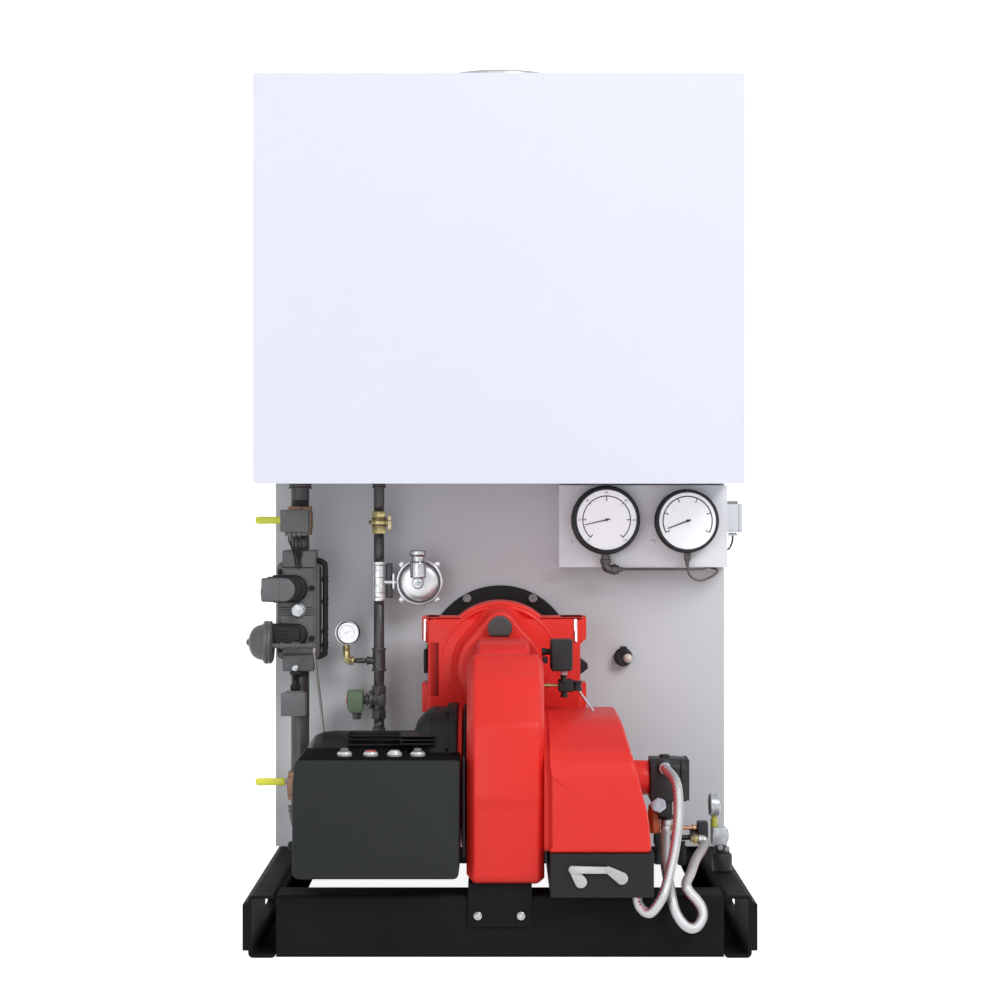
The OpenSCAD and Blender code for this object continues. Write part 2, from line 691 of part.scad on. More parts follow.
// Ribbed motor with a bell-shaped adapter and a domed tail
module fan_motor() {
    x1 = scroll_x0 - 9;
    x0 = x1 - motor_len;
    turned_x(x0, fan_d, fan_z) polygon([[0, 0], [40, 0], [62, 6], [76, 18], [motor_r - 6, 34],
        [motor_r - 6, motor_len - 94], [motor_r + 2, motor_len - 89], [103, motor_len - 84],
        [117, motor_len - 72], [125, motor_len - 62], [130, motor_len - 54], [130, motor_len - 26],
        [137, motor_len - 24], [137, motor_len - 9], [120, motor_len - 9], [120, motor_len],
        [0, motor_len]]);
    for (a = [0:12:348]) translate([x0 + 36, fy(fan_d), fan_z]) rotate([a, 0, 0])
        translate([0, motor_r - 8, -1.5]) cube([motor_len - 126, 8, 3]);
}

module control_box() {
    x0 = box_x1 - box_w;
    difference() {
        slab_y(400, box_front) translate([(x0 + box_x1) / 2, box_z0 + box_h / 2])
            rounded_rect(box_w, box_h, 12);
        rod_x(x0 - 1, box_x1 + 1, fan_d, fan_z, 2 * (motor_r + fit));
        rod_x(box_x1 - 102, box_x1 + 1, fan_d, fan_z, 2 * 140);
    }
    block(box_x1, box_x1 + 5, fan_d + 141, 560, 178, 354);
}

module control_buttons() {
    z = box_z0 + box_h;
    for (x = [-274, -228, -186, -145]) {
        translate([x, fy(520), z]) cylinder(h = 5, r = 13);
        translate([x, fy(520), z + 5]) cylinder(h = 9, r = 8);
    }
}

module servomotor() {
    block(93, 134, 300, 362, 490, 547);
    rod_x(scroll_x1, 93, 331, 524, 12);
    rod_z(472, 490, 121, 331, 15);
    block(108, 136, 312, 345, 450, 472);
    bent_tube([[136, 330, 460], [146, 330, 450], [168, 330, 432]], 6);
    rod_x(scroll_x1, 108, 331, 462, 6);
}

// OIL SIDE

module oil_pump() {
    block(275 + fit, 341, 312, 388, 253, 331);
    for (k = [0:5]) block(341, 347, 316 + 12 * k, 322 + 12 * k, 253, 331);
    rod_y(388, 396, 301, 316, 24);
    rod_z(331, 338, 305, 350, 22);
    block(278, 316, 330, 380, 218, 253);
    rod_y(380, 392, 290, 246, 28, $fn = 6);
    rod_z(194, 233, 282, 348, 26, $fn = 6);
}

module oil_filter() {
    x = 416; d = 290;
    // bowl standing on the rail, head block, fittings and side-on gauge
    rod_z(rail_h, 146, x, d, 38);
    rod_z(146, 159, x, d, 28, $fn = 6);
    block(x - 20, x + 9, d - 16, d + 16, 159, 193);
    rod_z(193, 207, x - 8, d, 14);
    rod_x(x - 25, x - 5, d, 234, 46);
    rod_z(205, 212, x - 12, d, 10);
    rod_x(x - 44, x - 20, d, 177, 23);
    rod_x(300, x - 44, d, 191, 9);
    rod_x(300, x - 44, d, 175, 12);
    // elbow that takes the supply hose
    rod_y(d, d + 29, 361, 173, 13);
    rod_x(361, 368.6, d + 22, 173, 15);
}

// Points of the hoses: x, distance in front of the casing, z
supply_points = [[306, 356, 217.6], [306, 356, 208], [304, 368, 188], [298, 440, 156], [297, 500, 139],
    [298, 540, 128], [301, 566, 106], [309, 574, 82], [325, 578, 63], [341, 577, 61],
    [353, 571, 76], [353, 565, 92], [343, 560, 107], [332, 556, 119], [327, 545, 131],
    [338, 500, 140], [357, 400, 150], [372, 345, 157], [380, 318, 165], [378, 312, 172],
    [369.5, 312, 173]];
return_points = [[301, 396.8, 316], [301, 406, 316], [312, 430, 306], [318, 455, 292], [319, 478, 262],
    [315, 505, 225], [308, 532, 190], [297, 560, 155], [286, 583, 124], [274, 587, 102],
    [261, 585, 88], [248, 578, 92], [240, 573, 108], [239, 570, 150]];

module hose_supply() hose(supply_points, 3, hose_d, 10);
module hose_return() hose(return_points, 3, hose_d, 10);

module burner_bracket() {
    block(-56, 56, rail_nose + fit, rail_nose + 5, 56, 133);
    block(-56, 56, 478, rail_nose + 5, 127, 133);
}

module rail_left() color([0.13, 0.13, 0.14]) rail();
module rail_right() color([0.13, 0.13, 0.14]) mirror([1, 0, 0]) rail();
module cross_member_front() color([0.13, 0.13, 0.14]) cross_member(true);
module cross_member_rear() color([0.13, 0.13, 0.14])
    translate([0, fy(rail_nose) + rear_y, 0]) mirror([0, 1, 0]) cross_member(false);

rail_left();
rail_right();
cross_member_front();
cross_member_rear();
color([0.45, 0.45, 0.47]) floor_pan();
color([0.8, 0.8, 0.84])  // front_panel
    translate([0, front_y, 0]) end_panel();
color([0.8, 0.8, 0.84]) side_panel();  // side_panel_left
color([0.8, 0.8, 0.84])  // side_panel_right
    mirror([1, 0, 0]) side_panel();
color([0.8, 0.8, 0.84])  // rear_panel
    translate([0, rear_y - panel_t, 0]) end_panel();
color([0.8, 0.8, 0.84]) top_panel();
color([0.55, 0.56, 0.58]) flue_collar();
color([0.55, 0.56, 0.58]) flue_flange();
color([0.2, 0.2, 0.22]) water_nozzle(supply_z);  // supply_nozzle
color([0.2, 0.2, 0.22]) water_nozzle(return_z);  // return_nozzle
color([0.92, 0.94, 0.98]) cabinet_body();
color([0.92, 0.94, 0.98]) cabinet_door();
color([0.85, 0.86, 0.9]) gauge_plate();
color([0.1, 0.1, 0.1])  // temperature_gauge
    gauge(208, 766, gauge_r1, 12);
color([0.1, 0.1, 0.1])  // pressure_gauge
    gauge(369, 764, gauge_r2, 20);
color([0.15, 0.15, 0.16]) gauge_tubes();
color([0.8, 0.8, 0.84]) side_sensor_box();
color([0.12, 0.12, 0.12]) sight_port();
color([0.2, 0.2, 0.22]) gas_pipe();
color([0.5, 0.33, 0.22]) gas_cock(cock_z1);  // gas_cock_upper
color([0.5, 0.33, 0.22]) gas_cock(cock_z2);  // gas_cock_lower
color([0.78, 0.82, 0.1]) lever(cock_z1);  // upper_handle
color([0.78, 0.82, 0.1]) lever(cock_z2);  // lower_handle
color([0.25, 0.27, 0.28]) gas_valve();
color([0.22, 0.22, 0.24]) valve_actuator();
color([0.22, 0.22, 0.24]) gas_regulator();
color([0.4, 0.41, 0.43]) pressure_switches();
color([0.5, 0.5, 0.5]) impulse_tube();
color([0.2, 0.2, 0.22]) pilot_pipe();
color([0.7, 0.6, 0.25]) pilot_cock();
color([0.75, 0.65, 0.3]) pilot_handle();
color([0.8, 0.8, 0.82]) pilot_regulator();
color([0.9, 0.9, 0.9]) pilot_gauge();
color([0.3, 0.42, 0.3]) pilot_solenoid();
color([0.12, 0.12, 0.12]) burner_flange();
color([0.8, 0.16, 0.12]) burner_casing();
color([0.85, 0.18, 0.14]) fan_scroll();
color([0.85, 0.18, 0.14]) air_intake();
color([0.2, 0.2, 0.21]) intake_base();
color([0.75, 0.75, 0.76]) damper_linkage();
color([0.12, 0.12, 0.13]) fan_motor();
color([0.2, 0.2, 0.21]) control_box();
color([0.85, 0.85, 0.85]) control_buttons();
color([0.12, 0.12, 0.12]) servomotor();
color([0.15, 0.15, 0.16]) oil_pump();
color([0.3, 0.3, 0.32]) oil_filter();
color([0.7, 0.7, 0.72]) hose_supply();
color([0.7, 0.7, 0.72]) hose_return();
color([0.13, 0.13, 0.14]) burner_bracket();
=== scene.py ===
import math

import bpy
import numpy as np
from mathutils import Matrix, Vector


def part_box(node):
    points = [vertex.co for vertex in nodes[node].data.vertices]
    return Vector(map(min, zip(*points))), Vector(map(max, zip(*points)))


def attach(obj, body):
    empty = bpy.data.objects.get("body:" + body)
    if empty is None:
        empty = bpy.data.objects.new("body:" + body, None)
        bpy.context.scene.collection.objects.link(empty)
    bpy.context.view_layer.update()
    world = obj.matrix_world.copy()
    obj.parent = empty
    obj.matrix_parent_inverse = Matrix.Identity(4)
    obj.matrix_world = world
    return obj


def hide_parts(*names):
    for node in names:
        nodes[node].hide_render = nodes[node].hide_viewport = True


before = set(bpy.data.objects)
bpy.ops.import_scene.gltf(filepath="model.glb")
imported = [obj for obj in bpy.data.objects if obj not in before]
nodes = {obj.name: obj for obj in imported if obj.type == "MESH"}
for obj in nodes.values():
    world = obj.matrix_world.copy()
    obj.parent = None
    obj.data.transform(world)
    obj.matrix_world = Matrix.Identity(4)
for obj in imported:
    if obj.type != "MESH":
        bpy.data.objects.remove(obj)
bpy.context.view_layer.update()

scene = bpy.context.scene

# CAMERA
# The boiler is seen straight from the front, 0.81 m above the floor and 4.37 m in front of the
# casing's sheet, through a lens of middle length.
sheet_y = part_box("front_panel")[0].y
lens = bpy.data.cameras.new("front_view")
lens.sensor_width, lens.lens, lens.shift_y = 36.0, 78.38, -0.003
eye = bpy.data.objects.new("front_view", lens)
eye_far, eye_high = 4.3698, 0.81095
eye.location = (0.0, sheet_y - eye_far, eye_high)
eye.rotation_euler = (math.pi / 2, 0.0, 0.0)
scene.collection.objects.link(eye)
scene.camera = eye

# OIL HOSES
# Two flexible hoses of rubber under a braid of bright steel wire, with a red tracer thread along
# them. Each is crimped into a sleeve and screwed on: one from the pump to the filter, one into the
# intake base.
def put(tree, kind, *ins, **named):
    """Adds a shader node; inputs are given in order or by name, settings by their own names."""
    node = tree.nodes.new("ShaderNode" + kind)
    for key, value in named.items():
        if hasattr(node, key):
            setattr(node, key, value)
    for key, value in list(enumerate(ins)) + [k for k in named.items() if not hasattr(node, k[0])]:
        socket = node.inputs[key.replace("_", " ") if isinstance(key, str) else key]
        if isinstance(value, bpy.types.NodeSocket):
            tree.links.new(value, socket)
        elif value is not None:
            socket.default_value = value
    return node


def sums(tree, operation, *ins):
    """One step of arithmetic between sockets or numbers."""
    return put(tree, "Math", *ins, operation=operation).outputs[0]


def mixed(tree, share, first, second):
    """Colour between two others, by a share from 0 to 1."""
    node = put(tree, "Mix", data_type="RGBA")
    for socket, value in zip((node.inputs[0], node.inputs[6], node.inputs[7]),
        (share, first, second)):
        if isinstance(value, bpy.types.NodeSocket):
            tree.links.new(value, socket)
        else:
            socket.default_value = value
    return node.outputs[2]


def shader_for(name, rough=0.5, metal=0.0, gloss=0.5, **plain):
    """A material with its Principled shader; uniform values are set on the shader's own
    sockets."""
    mat = bpy.data.materials.new(name)
    mat.use_nodes = True
    shader = mat.node_tree.nodes["Principled BSDF"]
    shader.inputs["Roughness"].default_value = rough
    shader.inputs["Metallic"].default_value = metal
    shader.inputs["Specular IOR Level"].default_value = gloss
    for key, value in plain.items():
        shader.inputs[key.replace("_", " ")].default_value = value
    return mat, mat.node_tree, shader


def braid_finish():
    """Two families of slanting wires cross along the hose: a wire shows where its own wave is the
    higher one. A tracer thread lies in one narrow band round the hose, and shows in every other
    crossing. The same thread lies on the other side too."""
    mat, tree, shader = shader_for("hose_braid", 0.34, 0.75)
    uv = put(tree, "UVMap", uv_map="along").outputs[0]
    split = put(tree, "SeparateXYZ", uv)
    along, turn = split.outputs[0], split.outputs[1]
    wires, slant, stitches, waves = 12.0, 165.0, 130.0, []
    for way in (slant, -slant):
        slope = sums(tree, "MULTIPLY", along, way)
        phase = sums(tree, "ADD", sums(tree, "MULTIPLY", turn, wires), slope)
        waves.append(sums(tree, "PINGPONG", phase, 0.5))
    height = sums(tree, "MULTIPLY", sums(tree, "MAXIMUM", *waves), 2.0)
    band = sums(tree, "COMPARE", sums(tree, "FRACT", sums(tree, "MULTIPLY", turn, 2.0)), 0.3,
        0.062)
    step = sums(tree, "GREATER_THAN", sums(tree, "FRACT", sums(tree, "MULTIPLY", along, stitches)),
        0.42)
    red = sums(tree, "MULTIPLY", band, step)
    # The braid's colour is darker where its wires lie low between the crossings: painted shade
    # between the wires.
    shade = mixed(tree, height, (0.2, 0.2, 0.21, 1), (0.62, 0.62, 0.64, 1))
    tree.links.new(mixed(tree, red, shade, (0.62, 0.02, 0.07, 1)), shader.inputs["Base Color"])
    tree.links.new(sums(tree, "MULTIPLY_ADD", sums(tree, "SUBTRACT", 1.0, red), 0.55, 0.1),
        shader.inputs["Metallic"])
    bump = put(tree, "Bump", Strength=0.7, Distance=0.0006, Height=height)
    tree.links.new(bump.outputs[0], shader.inputs["Normal"])
    return mat


def smooth(points, per):
    """Catmull-Rom curve: between two points the place is a cubic of the four points around it."""
    p = np.asarray(points, float)
    p = np.vstack([p[:1], p, p[-1:]])
    a, b, c, e = (p[k:len(p) - 3 + k, None] for k in range(4))
    t = np.linspace(0, 1, per, endpoint=False)[None, :, None]
    q = 0.5 * (2 * b + (c - a) * t + (2 * a - 5 * b + 4 * c - e) * t ** 2
               + (3 * b - a - 3 * c + e) * t ** 3)
    return np.vstack([q.reshape(-1, p.shape[1]), p[-1:]])


def grid_shell(grid, tips=(None, None)):
    """Rings of points, each joined to the next; an end closes flat, or on a tip of its own, and
    with no tips at all the last ring is the first one again."""
    rows, cols = grid.shape[:2]
    i, j = np.meshgrid(np.arange(rows - 1), np.arange(cols), indexing="ij")
    k = (j + 1) % cols
    quads = np.stack([i * cols + j, i * cols + k, (i + 1) * cols + k, (i + 1) * cols + j], -1)
    points, faces = grid.reshape(-1, 3), [quads.reshape(-1, 4)]
    if not tips:
        return points[:-cols], [faces[0] % ((rows - 1) * cols)]
    for tip, ring in zip(tips, (np.arange(cols)[::-1], np.arange(cols) + (rows - 1) * cols)):
        if tip is None:
            faces.append(ring[None])
        else:
            faces.append(np.stack([ring, np.roll(ring, -1), np.full(cols, len(points))], -1))
            points = np.vstack([points, tip])
    return points, faces


def tube(path, radius, sides=20):
    """Circle carried along a path, square to it and without twist: each ring's first direction is
    the last one's, less what points along the path."""
    q = np.asarray(path, float)
    t = np.gradient(q, axis=0)
    t /= np.linalg.norm(t, axis=1, keepdims=True)
    side, v = np.empty_like(t), np.array((0.3, 0.9, 0.2))
    for i, ahead in enumerate(t):
        v = v - ahead * (v @ ahead)
        side[i] = v = v / np.linalg.norm(v)
    a = np.linspace(0, 2 * np.pi, sides, endpoint=False)[None, :, None]
    r = np.broadcast_to(np.asarray(radius, float), len(q))[:, None, None]
    grid = q[:, None] + r * (np.cos(a) * side[:, None] + np.sin(a) * np.cross(t, side)[:, None])
    return grid_shell(grid)


def volume(points, faces):
    """Signed volume inside closed faces: the sum over their triangles of the box product."""
    total = 0.0
    for f in faces:
        p = points[f]
        cut = np.einsum("ij,ikj->", p[:, 0], np.cross(p[:, 1:-1], p[:, 2:]))
        total += float(cut)
    return total


def placed(points):
    """From side, distance in front of the casing's sheet and height in millimetres to a place in
    the scene in metres."""
    return points * (0.001, -0.001, 0.001) + (0, sheet_y, 0)


def meshed(name, points, faces):
    """Object with a smooth mesh of these points and faces."""
    mesh = bpy.data.meshes.new(name)
    mesh.from_pydata(points.tolist(), [], faces)
    mesh.polygons.foreach_set("use_smooth", np.ones(len(mesh.polygons), bool))
    made = bpy.data.objects.new(name, mesh)
    scene.collection.objects.link(made)
    return made


def piece(name, finish, shells, stands_for=(), body="boiler", sharp=38.0):
    """Joins closed shells, given in millimetres, in one mesh whose faces point outwards; edges
    sharper than an angle in degrees aren't smoothed."""
    points, faces, count = [], [], 0
    for p, fs in shells:
        p = placed(p)
        out = 1 if volume(p - p.mean(0), fs) > 0 else -1
        for f in fs:
            faces += (f[:, ::out] + count).tolist()
        points.append(p)
        count += len(p)
    made = meshed(name, np.concatenate(points), faces)
    made.data.set_sharp_from_angle(angle=math.radians(sharp))
    made.data.materials.append(finish)
    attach(made, body)
    if stands_for:
        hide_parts(*([stands_for] if isinstance(stands_for, str) else stands_for))
    return made


def hose(name, node, points):
    """The hose's tube, with its distance along in metres and its turn round as the UV map."""
    line, sides = smooth(points, 8), 24
    made = piece(name, hose_braid, [tube(line, 9, sides)], node)
    mesh = made.data
    run = np.r_[0, np.cumsum(np.linalg.norm(np.diff(line, axis=0), axis=1))] / 1000
    corner = np.empty(len(mesh.loops), int)
    mesh.loops.foreach_get("vertex_index", corner)
    turn = (corner % sides) / sides
    start = np.empty(len(mesh.polygons), int)
    mesh.polygons.foreach_get("loop_start", start)
    face = np.searchsorted(start, np.arange(len(corner)), side="right") - 1
    low = np.minimum.reduceat(turn, start)[face]
    high = np.maximum.reduceat(turn, start)[face]
    turn = np.where((high - low > 0.5) & (turn < 0.5), turn + 1.0, turn)
    layer = mesh.uv_layers.new(name="along")
    layer.data.foreach_set("uv", np.stack([run[corner // sides], turn], -1).ravel())
    return made


hose_braid = braid_finish()
supply_line = np.array([(306, 356, 217.6), (306, 356, 208), (304, 368, 188), (298, 440, 156),
    (297, 500, 139), (298, 540, 128), (301, 566, 106), (309, 574, 82), (325, 578, 63),
    (341, 577, 61), (353, 571, 76), (353, 565, 92), (343, 560, 107), (332, 556, 119),
    (327, 545, 131), (338, 500, 140), (357, 400, 150), (372, 345, 157), (380, 318, 165),
    (378, 312, 172), (369.5, 312, 173)])
return_line = np.array([(301, 396.8, 316), (301, 406, 316), (312, 430, 306), (318, 455, 292),
    (319, 478, 262), (315, 505, 225), (308, 532, 190), (297, 560, 155), (286, 583, 124),
    (274, 587, 102), (261, 585, 88), (248, 578, 92), (240, 573, 108), (239, 570, 150)])
hose("supply_hose", "hose_supply", supply_line)
hose("return_hose", "hose_return", return_line)

# SKID
# Two rails and two cross members folded from 6 mm steel sheet, welded together and powder coated
# satin black. A thinner grey pan closes the floor below the casing.
def skin_group():
    """Skin of a paint or casting. Slow noise pulls the colour towards a second one and spreads the
    roughness; fine noise is the height of its grain."""
    tree = bpy.data.node_groups.new("skin", "ShaderNodeTree")
    for label, kind in (("Colour", "Color"), ("Second", "Color"), ("Roughness", "Float"),
        ("Spread", "Float"), ("Patch", "Float"), ("Grain", "Float")):
        tree.interface.new_socket(name=label, in_out="INPUT", socket_type="NodeSocket" + kind)
    for label, kind in (("Colour", "Color"), ("Roughness", "Float"), ("Height", "Float")):
        tree.interface.new_socket(name=label, in_out="OUTPUT", socket_type="NodeSocket" + kind)
    given, out = tree.nodes.new("NodeGroupInput"), tree.nodes.new("NodeGroupOutput")
    place = put(tree, "TexCoord").outputs["Object"]
    slow = put(tree, "TexNoise", Vector=place, Detail=4.0, Scale=sums(tree, "DIVIDE", 1.0,
        given.outputs["Patch"])).outputs[0]
    share = put(tree, "MapRange", slow, 0.35, 0.65).outputs[0]
    fine = put(tree, "TexNoise", Vector=place, Detail=2.0, Scale=sums(tree, "DIVIDE", 1.0,
        given.outputs["Grain"])).outputs[0]
    rough = sums(tree, "MULTIPLY_ADD", sums(tree, "SUBTRACT", share, 0.5), given.outputs["Spread"],
        given.outputs["Roughness"])
    tree.links.new(mixed(tree, share, given.outputs["Colour"], given.outputs["Second"]),
        out.inputs["Colour"])
    tree.links.new(rough, out.inputs["Roughness"])
    tree.links.new(fine, out.inputs["Height"])
    return tree


def coated(name, colour, second=None, rough=0.5, spread=0.06, patch=0.2, grain=0.0015, depth=0.12,
           metal=0.0, **plain):
    """A finish whose colour, roughness and bump come from the skin group, with its own values."""
    mat, tree, shader = shader_for(name, rough, metal, **plain)
    group = tree.nodes.new("ShaderNodeGroup")
    group.node_tree = skin
    second = second or tuple(c * 0.93 for c in colour)
    for socket, value in zip(group.inputs, ((*colour, 1), (*second, 1), rough, spread, patch,
        grain)):
        socket.default_value = value
    tree.links.new(group.outputs["Colour"], shader.inputs["Base Color"])
    tree.links.new(group.outputs["Roughness"], shader.inputs["Roughness"])
    bump = put(tree, "Bump", Strength=depth, Distance=0.0004, Height=group.outputs["Height"])
    tree.links.new(bump.outputs[0], shader.inputs["Normal"])
    return mat


def dress(finish, *names):
    """A solid that is right as it is takes its finish through its object's material slots."""
    for name in names:
        for held in nodes[name].material_slots:
            held.link = "OBJECT"
            held.material = finish


def turned(profile, start, axis="z", sides=48, ring=False):
    """Profile of distance along a line and radius, turned about that line; an end whose radius is
    0 closes on a point, and for a ring the profile's end meets its start."""
    profile, start = np.asarray(profile, float), np.asarray(start, float)
    k = "xdz".index(axis)
    a = np.linspace(0, 2 * np.pi, sides, endpoint=False)
    rows = [profile[:, 1:] * np.cos(a), profile[:, 1:] * np.sin(a)]
    rows.insert(k, np.broadcast_to(profile[:, :1], rows[0].shape))
    grid = np.stack(rows, -1) + start
    if ring:
        return grid_shell(np.concatenate([grid, grid[:1]]), ())
    first, last = profile[0, 1] < 1e-9, profile[-1, 1] < 1e-9
    tips = (grid[0, 0] if first else None, grid[-1, 0] if last else None)
    return grid_shell(grid[int(first):len(grid) - int(last)], tips)


def repeated(copies, faces):
    """One shell out of several copies of a shell's points, each with the same faces."""
    step = (np.arange(len(copies)) * copies.shape[1])[:, None, None]
    return copies.reshape(-1, 3), [(f[None] + step).reshape(-1, f.shape[1]) for f in faces]


def many(shell, places):
    """Copies of one shell, moved to each of the places."""
    points, faces = shell
    return [repeated(points[None] + np.atleast_2d(places)[:, None], faces)]


skin = skin_group()
skid_paint = coated("skid_paint", (0.0125, 0.0125, 0.013), (0.016, 0.016, 0.0165), 0.6, 0.1, 0.3,
    gloss=0.03)
pan_paint = coated("pan_paint", (0.022, 0.023, 0.024), rough=0.6, gloss=0.08)
zinc = coated("zinc_plate", (0.48, 0.49, 0.50), (0.36, 0.37, 0.38), 0.38, 0.1, 0.01, metal=0.9)
dress(skid_paint, "rail_left", "rail_right", "cross_member_front", "cross_member_rear",
    "burner_bracket")
dress(pan_paint, "floor_pan")
nose = 545  # distance of the front of the bracket
bolt_head = turned([(0, 0), (0, 7.2), (1.8, 7.2), (2.2, 6.4), (7, 6.2), (7.8, 5.2), (7.8, 3.4),
    (5.5, 3), (5.5, 0)], (0, nose, 0), "d", 24)
piece("bracket_bolts", zinc, many(bolt_head, [(-39, 0, 75), (37, 0, 75)]))

# CASING
# Insulated boards of light grey coated sheet over mineral wool, screwed to a frame on the skid.
# The spun flue collar and the two flanged water nozzles stand on it.
casing_paint = coated("casing_paint", (0.66, 0.685, 0.725), (0.635, 0.66, 0.70), 0.5, 0.08, 0.5,
    gloss=0.3)
flue_steel = coated("flue_steel", (0.56, 0.57, 0.58), (0.48, 0.49, 0.5), 0.34, 0.12, 0.08,
    metal=0.9)
nozzle_iron = coated("nozzle_iron", (0.03, 0.03, 0.032), (0.045, 0.04, 0.038), 0.55, 0.12, 0.03,
    depth=0.3)
dress(casing_paint, "front_panel", "side_panel_left", "side_panel_right", "rear_panel",
    "top_panel")
dress(flue_steel, "flue_collar", "flue_flange")
dress(nozzle_iron, "supply_nozzle", "return_nozzle")

# UPPER CABINET
# Welded sheet cabinet in cool white powder coat, with a pan-shaped door over its whole front.
cabinet_paint = coated("cabinet_paint", (0.79, 0.825, 0.925), (0.775, 0.81, 0.91), 0.4, 0.05, 0.6,
    gloss=0.3)
dress(cabinet_paint, "cabinet_body", "cabinet_door")

# GAUGE PLATE
# Folded plate of the cabinet's sheet that stands off the casing on its two sides, held by two
# small screws with dished heads.
plate_paint = coated("plate_paint", (0.85, 0.87, 0.93), (0.83, 0.85, 0.91), 0.42, 0.06, 0.3)
dress(plate_paint, "gauge_plate")
screw = turned([(0, 0), (0, 5.5), (1.2, 5.5), (2.6, 4), (3, 2), (2.2, 1.6), (2.2, 0)], (0, 60, 0),
    "d", 20)
piece("plate_screws", plate_paint, many(screw, [(138.6, 0, 722), (302.9, 0, 722)]))

# DIAL GAUGES
# Black moulded cases with a screwed bezel, white printed dials behind flat glass and black needles
# on a turned hub. The left one has a numbered scale.
gauge_black = coated("gauge_black", (0.014, 0.014, 0.016), rough=0.36, depth=0.1, gloss=0.3)
# The dials glow faintly with an emission of their own: painted light, so that they read whiter
# than the light on them makes them.
dial_white = coated("dial_white", (0.93, 0.94, 0.965), (0.915, 0.925, 0.95), 0.5, depth=0.0,
    Emission_Color=(0.9, 0.92, 1, 1), Emission_Strength=0.28)
dial_ink = coated("dial_ink", (0.012, 0.012, 0.014), rough=0.6, depth=0.0)
glass = shader_for("dial_glass", 0.04, Alpha=0.04, Base_Color=(0.9, 0.92, 0.95, 1))[0]


def eased(corners, cut, steps=4, closed=True):
    """Each corner is cut back along both its sides and bridged by a parabola."""
    p = np.asarray(corners, float)
    a, b = np.roll(p, 1, 0) - p, np.roll(p, -1, 0) - p
    la, lb = (np.linalg.norm(v, axis=1, keepdims=True) for v in (a, b))
    r = np.minimum(np.broadcast_to(np.asarray(cut, float), len(p))[:, None],
        0.49 * np.minimum(la, lb))
    t = np.linspace(0, 1, steps)[None, :, None]
    first, last = p + a / la * r, p + b / lb * r
    q = (1 - t) ** 2 * first[:, None] + 2 * t * (1 - t) * p[:, None] + t ** 2 * last[:, None]
    if closed:
        return q.reshape(-1, p.shape[1])
    return np.vstack([p[:1], q[1:-1].reshape(-1, p.shape[1]), p[-1:]])


def layered(outline, axis, rows, share=1.0):
    """Outline carried through rows of (place along the axis, how far it draws in); each point
    takes its own share of that."""
    p = np.asarray(outline, float)
    t = np.roll(p, -1, 0) - np.roll(p, 1, 0)
    inward = np.stack([-t[:, 1], t[:, 0]], -1)
    inward /= np.linalg.norm(inward, axis=1, keepdims=True) + 1e-12
    nxt = np.roll(p, -1, 0)
    if np.sum(p[:, 0] * nxt[:, 1] - nxt[:, 0] * p[:, 1]) < 0:
        inward = -inward
    rows = np.asarray(rows, float)
    ring = p[None] + rows[:, 1, None, None] * (inward * np.reshape(share, (-1, 1)))[None]
    parts = [ring[..., 0], ring[..., 1]]
    parts.insert("xdz".index(axis), np.broadcast_to(rows[:, :1], ring.shape[:2]))
    return grid_shell(np.stack(parts, -1))


def slab(outline, axis, a0, a1, ease=1.5, steps=4):
    """Closed outline carried from a0 to a1 along an axis; at both ends it draws in along a quarter
    circle, so the edges are rounded."""
    k = np.linspace(0, np.pi / 2, steps)
    draw, go = ease * (1 - np.sin(k)), ease * (1 - np.cos(k))
    return layered(outline, axis, np.stack([np.r_[a0 + go, (a1 - go)[::-1]],
        np.r_[draw, draw[::-1]]], -1))


def on_dial(cx, cz, turn, r):
    """Place on a dial, by its turn from the top in degrees and its radius."""
    a = np.radians(turn)
    return np.stack(np.broadcast_arrays(cx + r * np.sin(a), cz + r * np.cos(a)), -1)


def arc_band(cx, cz, first, last, r0, r1, n=48):
    """Band between two radii, from one turn to another."""
    a = np.linspace(first, last, n)
    return np.vstack([on_dial(cx, cz, a, r1), on_dial(cx, cz, a[::-1], r0)])


def numeral(text, cx, cz, size, d):
    """Digits of the built-in letters, made a thin solid and set on the dial."""
    words = bpy.data.curves.new("digits", "FONT")
    words.body, words.size, words.extrude = text, size / 1000, 0.0001
    words.align_x = words.align_y = "CENTER"
    held = bpy.data.objects.new("digits", words)
    mesh = held.to_mesh()
    p = np.empty(len(mesh.vertices) * 3)
    mesh.vertices.foreach_get("co", p)
    p = p.reshape(-1, 3)[:, [0, 2, 1]] * 1000 + (cx, d, cz)
    faces = [np.array([f.vertices[:]]) for f in mesh.polygons]
    held.to_mesh_clear()
    bpy.data.objects.remove(held)
    return p, faces


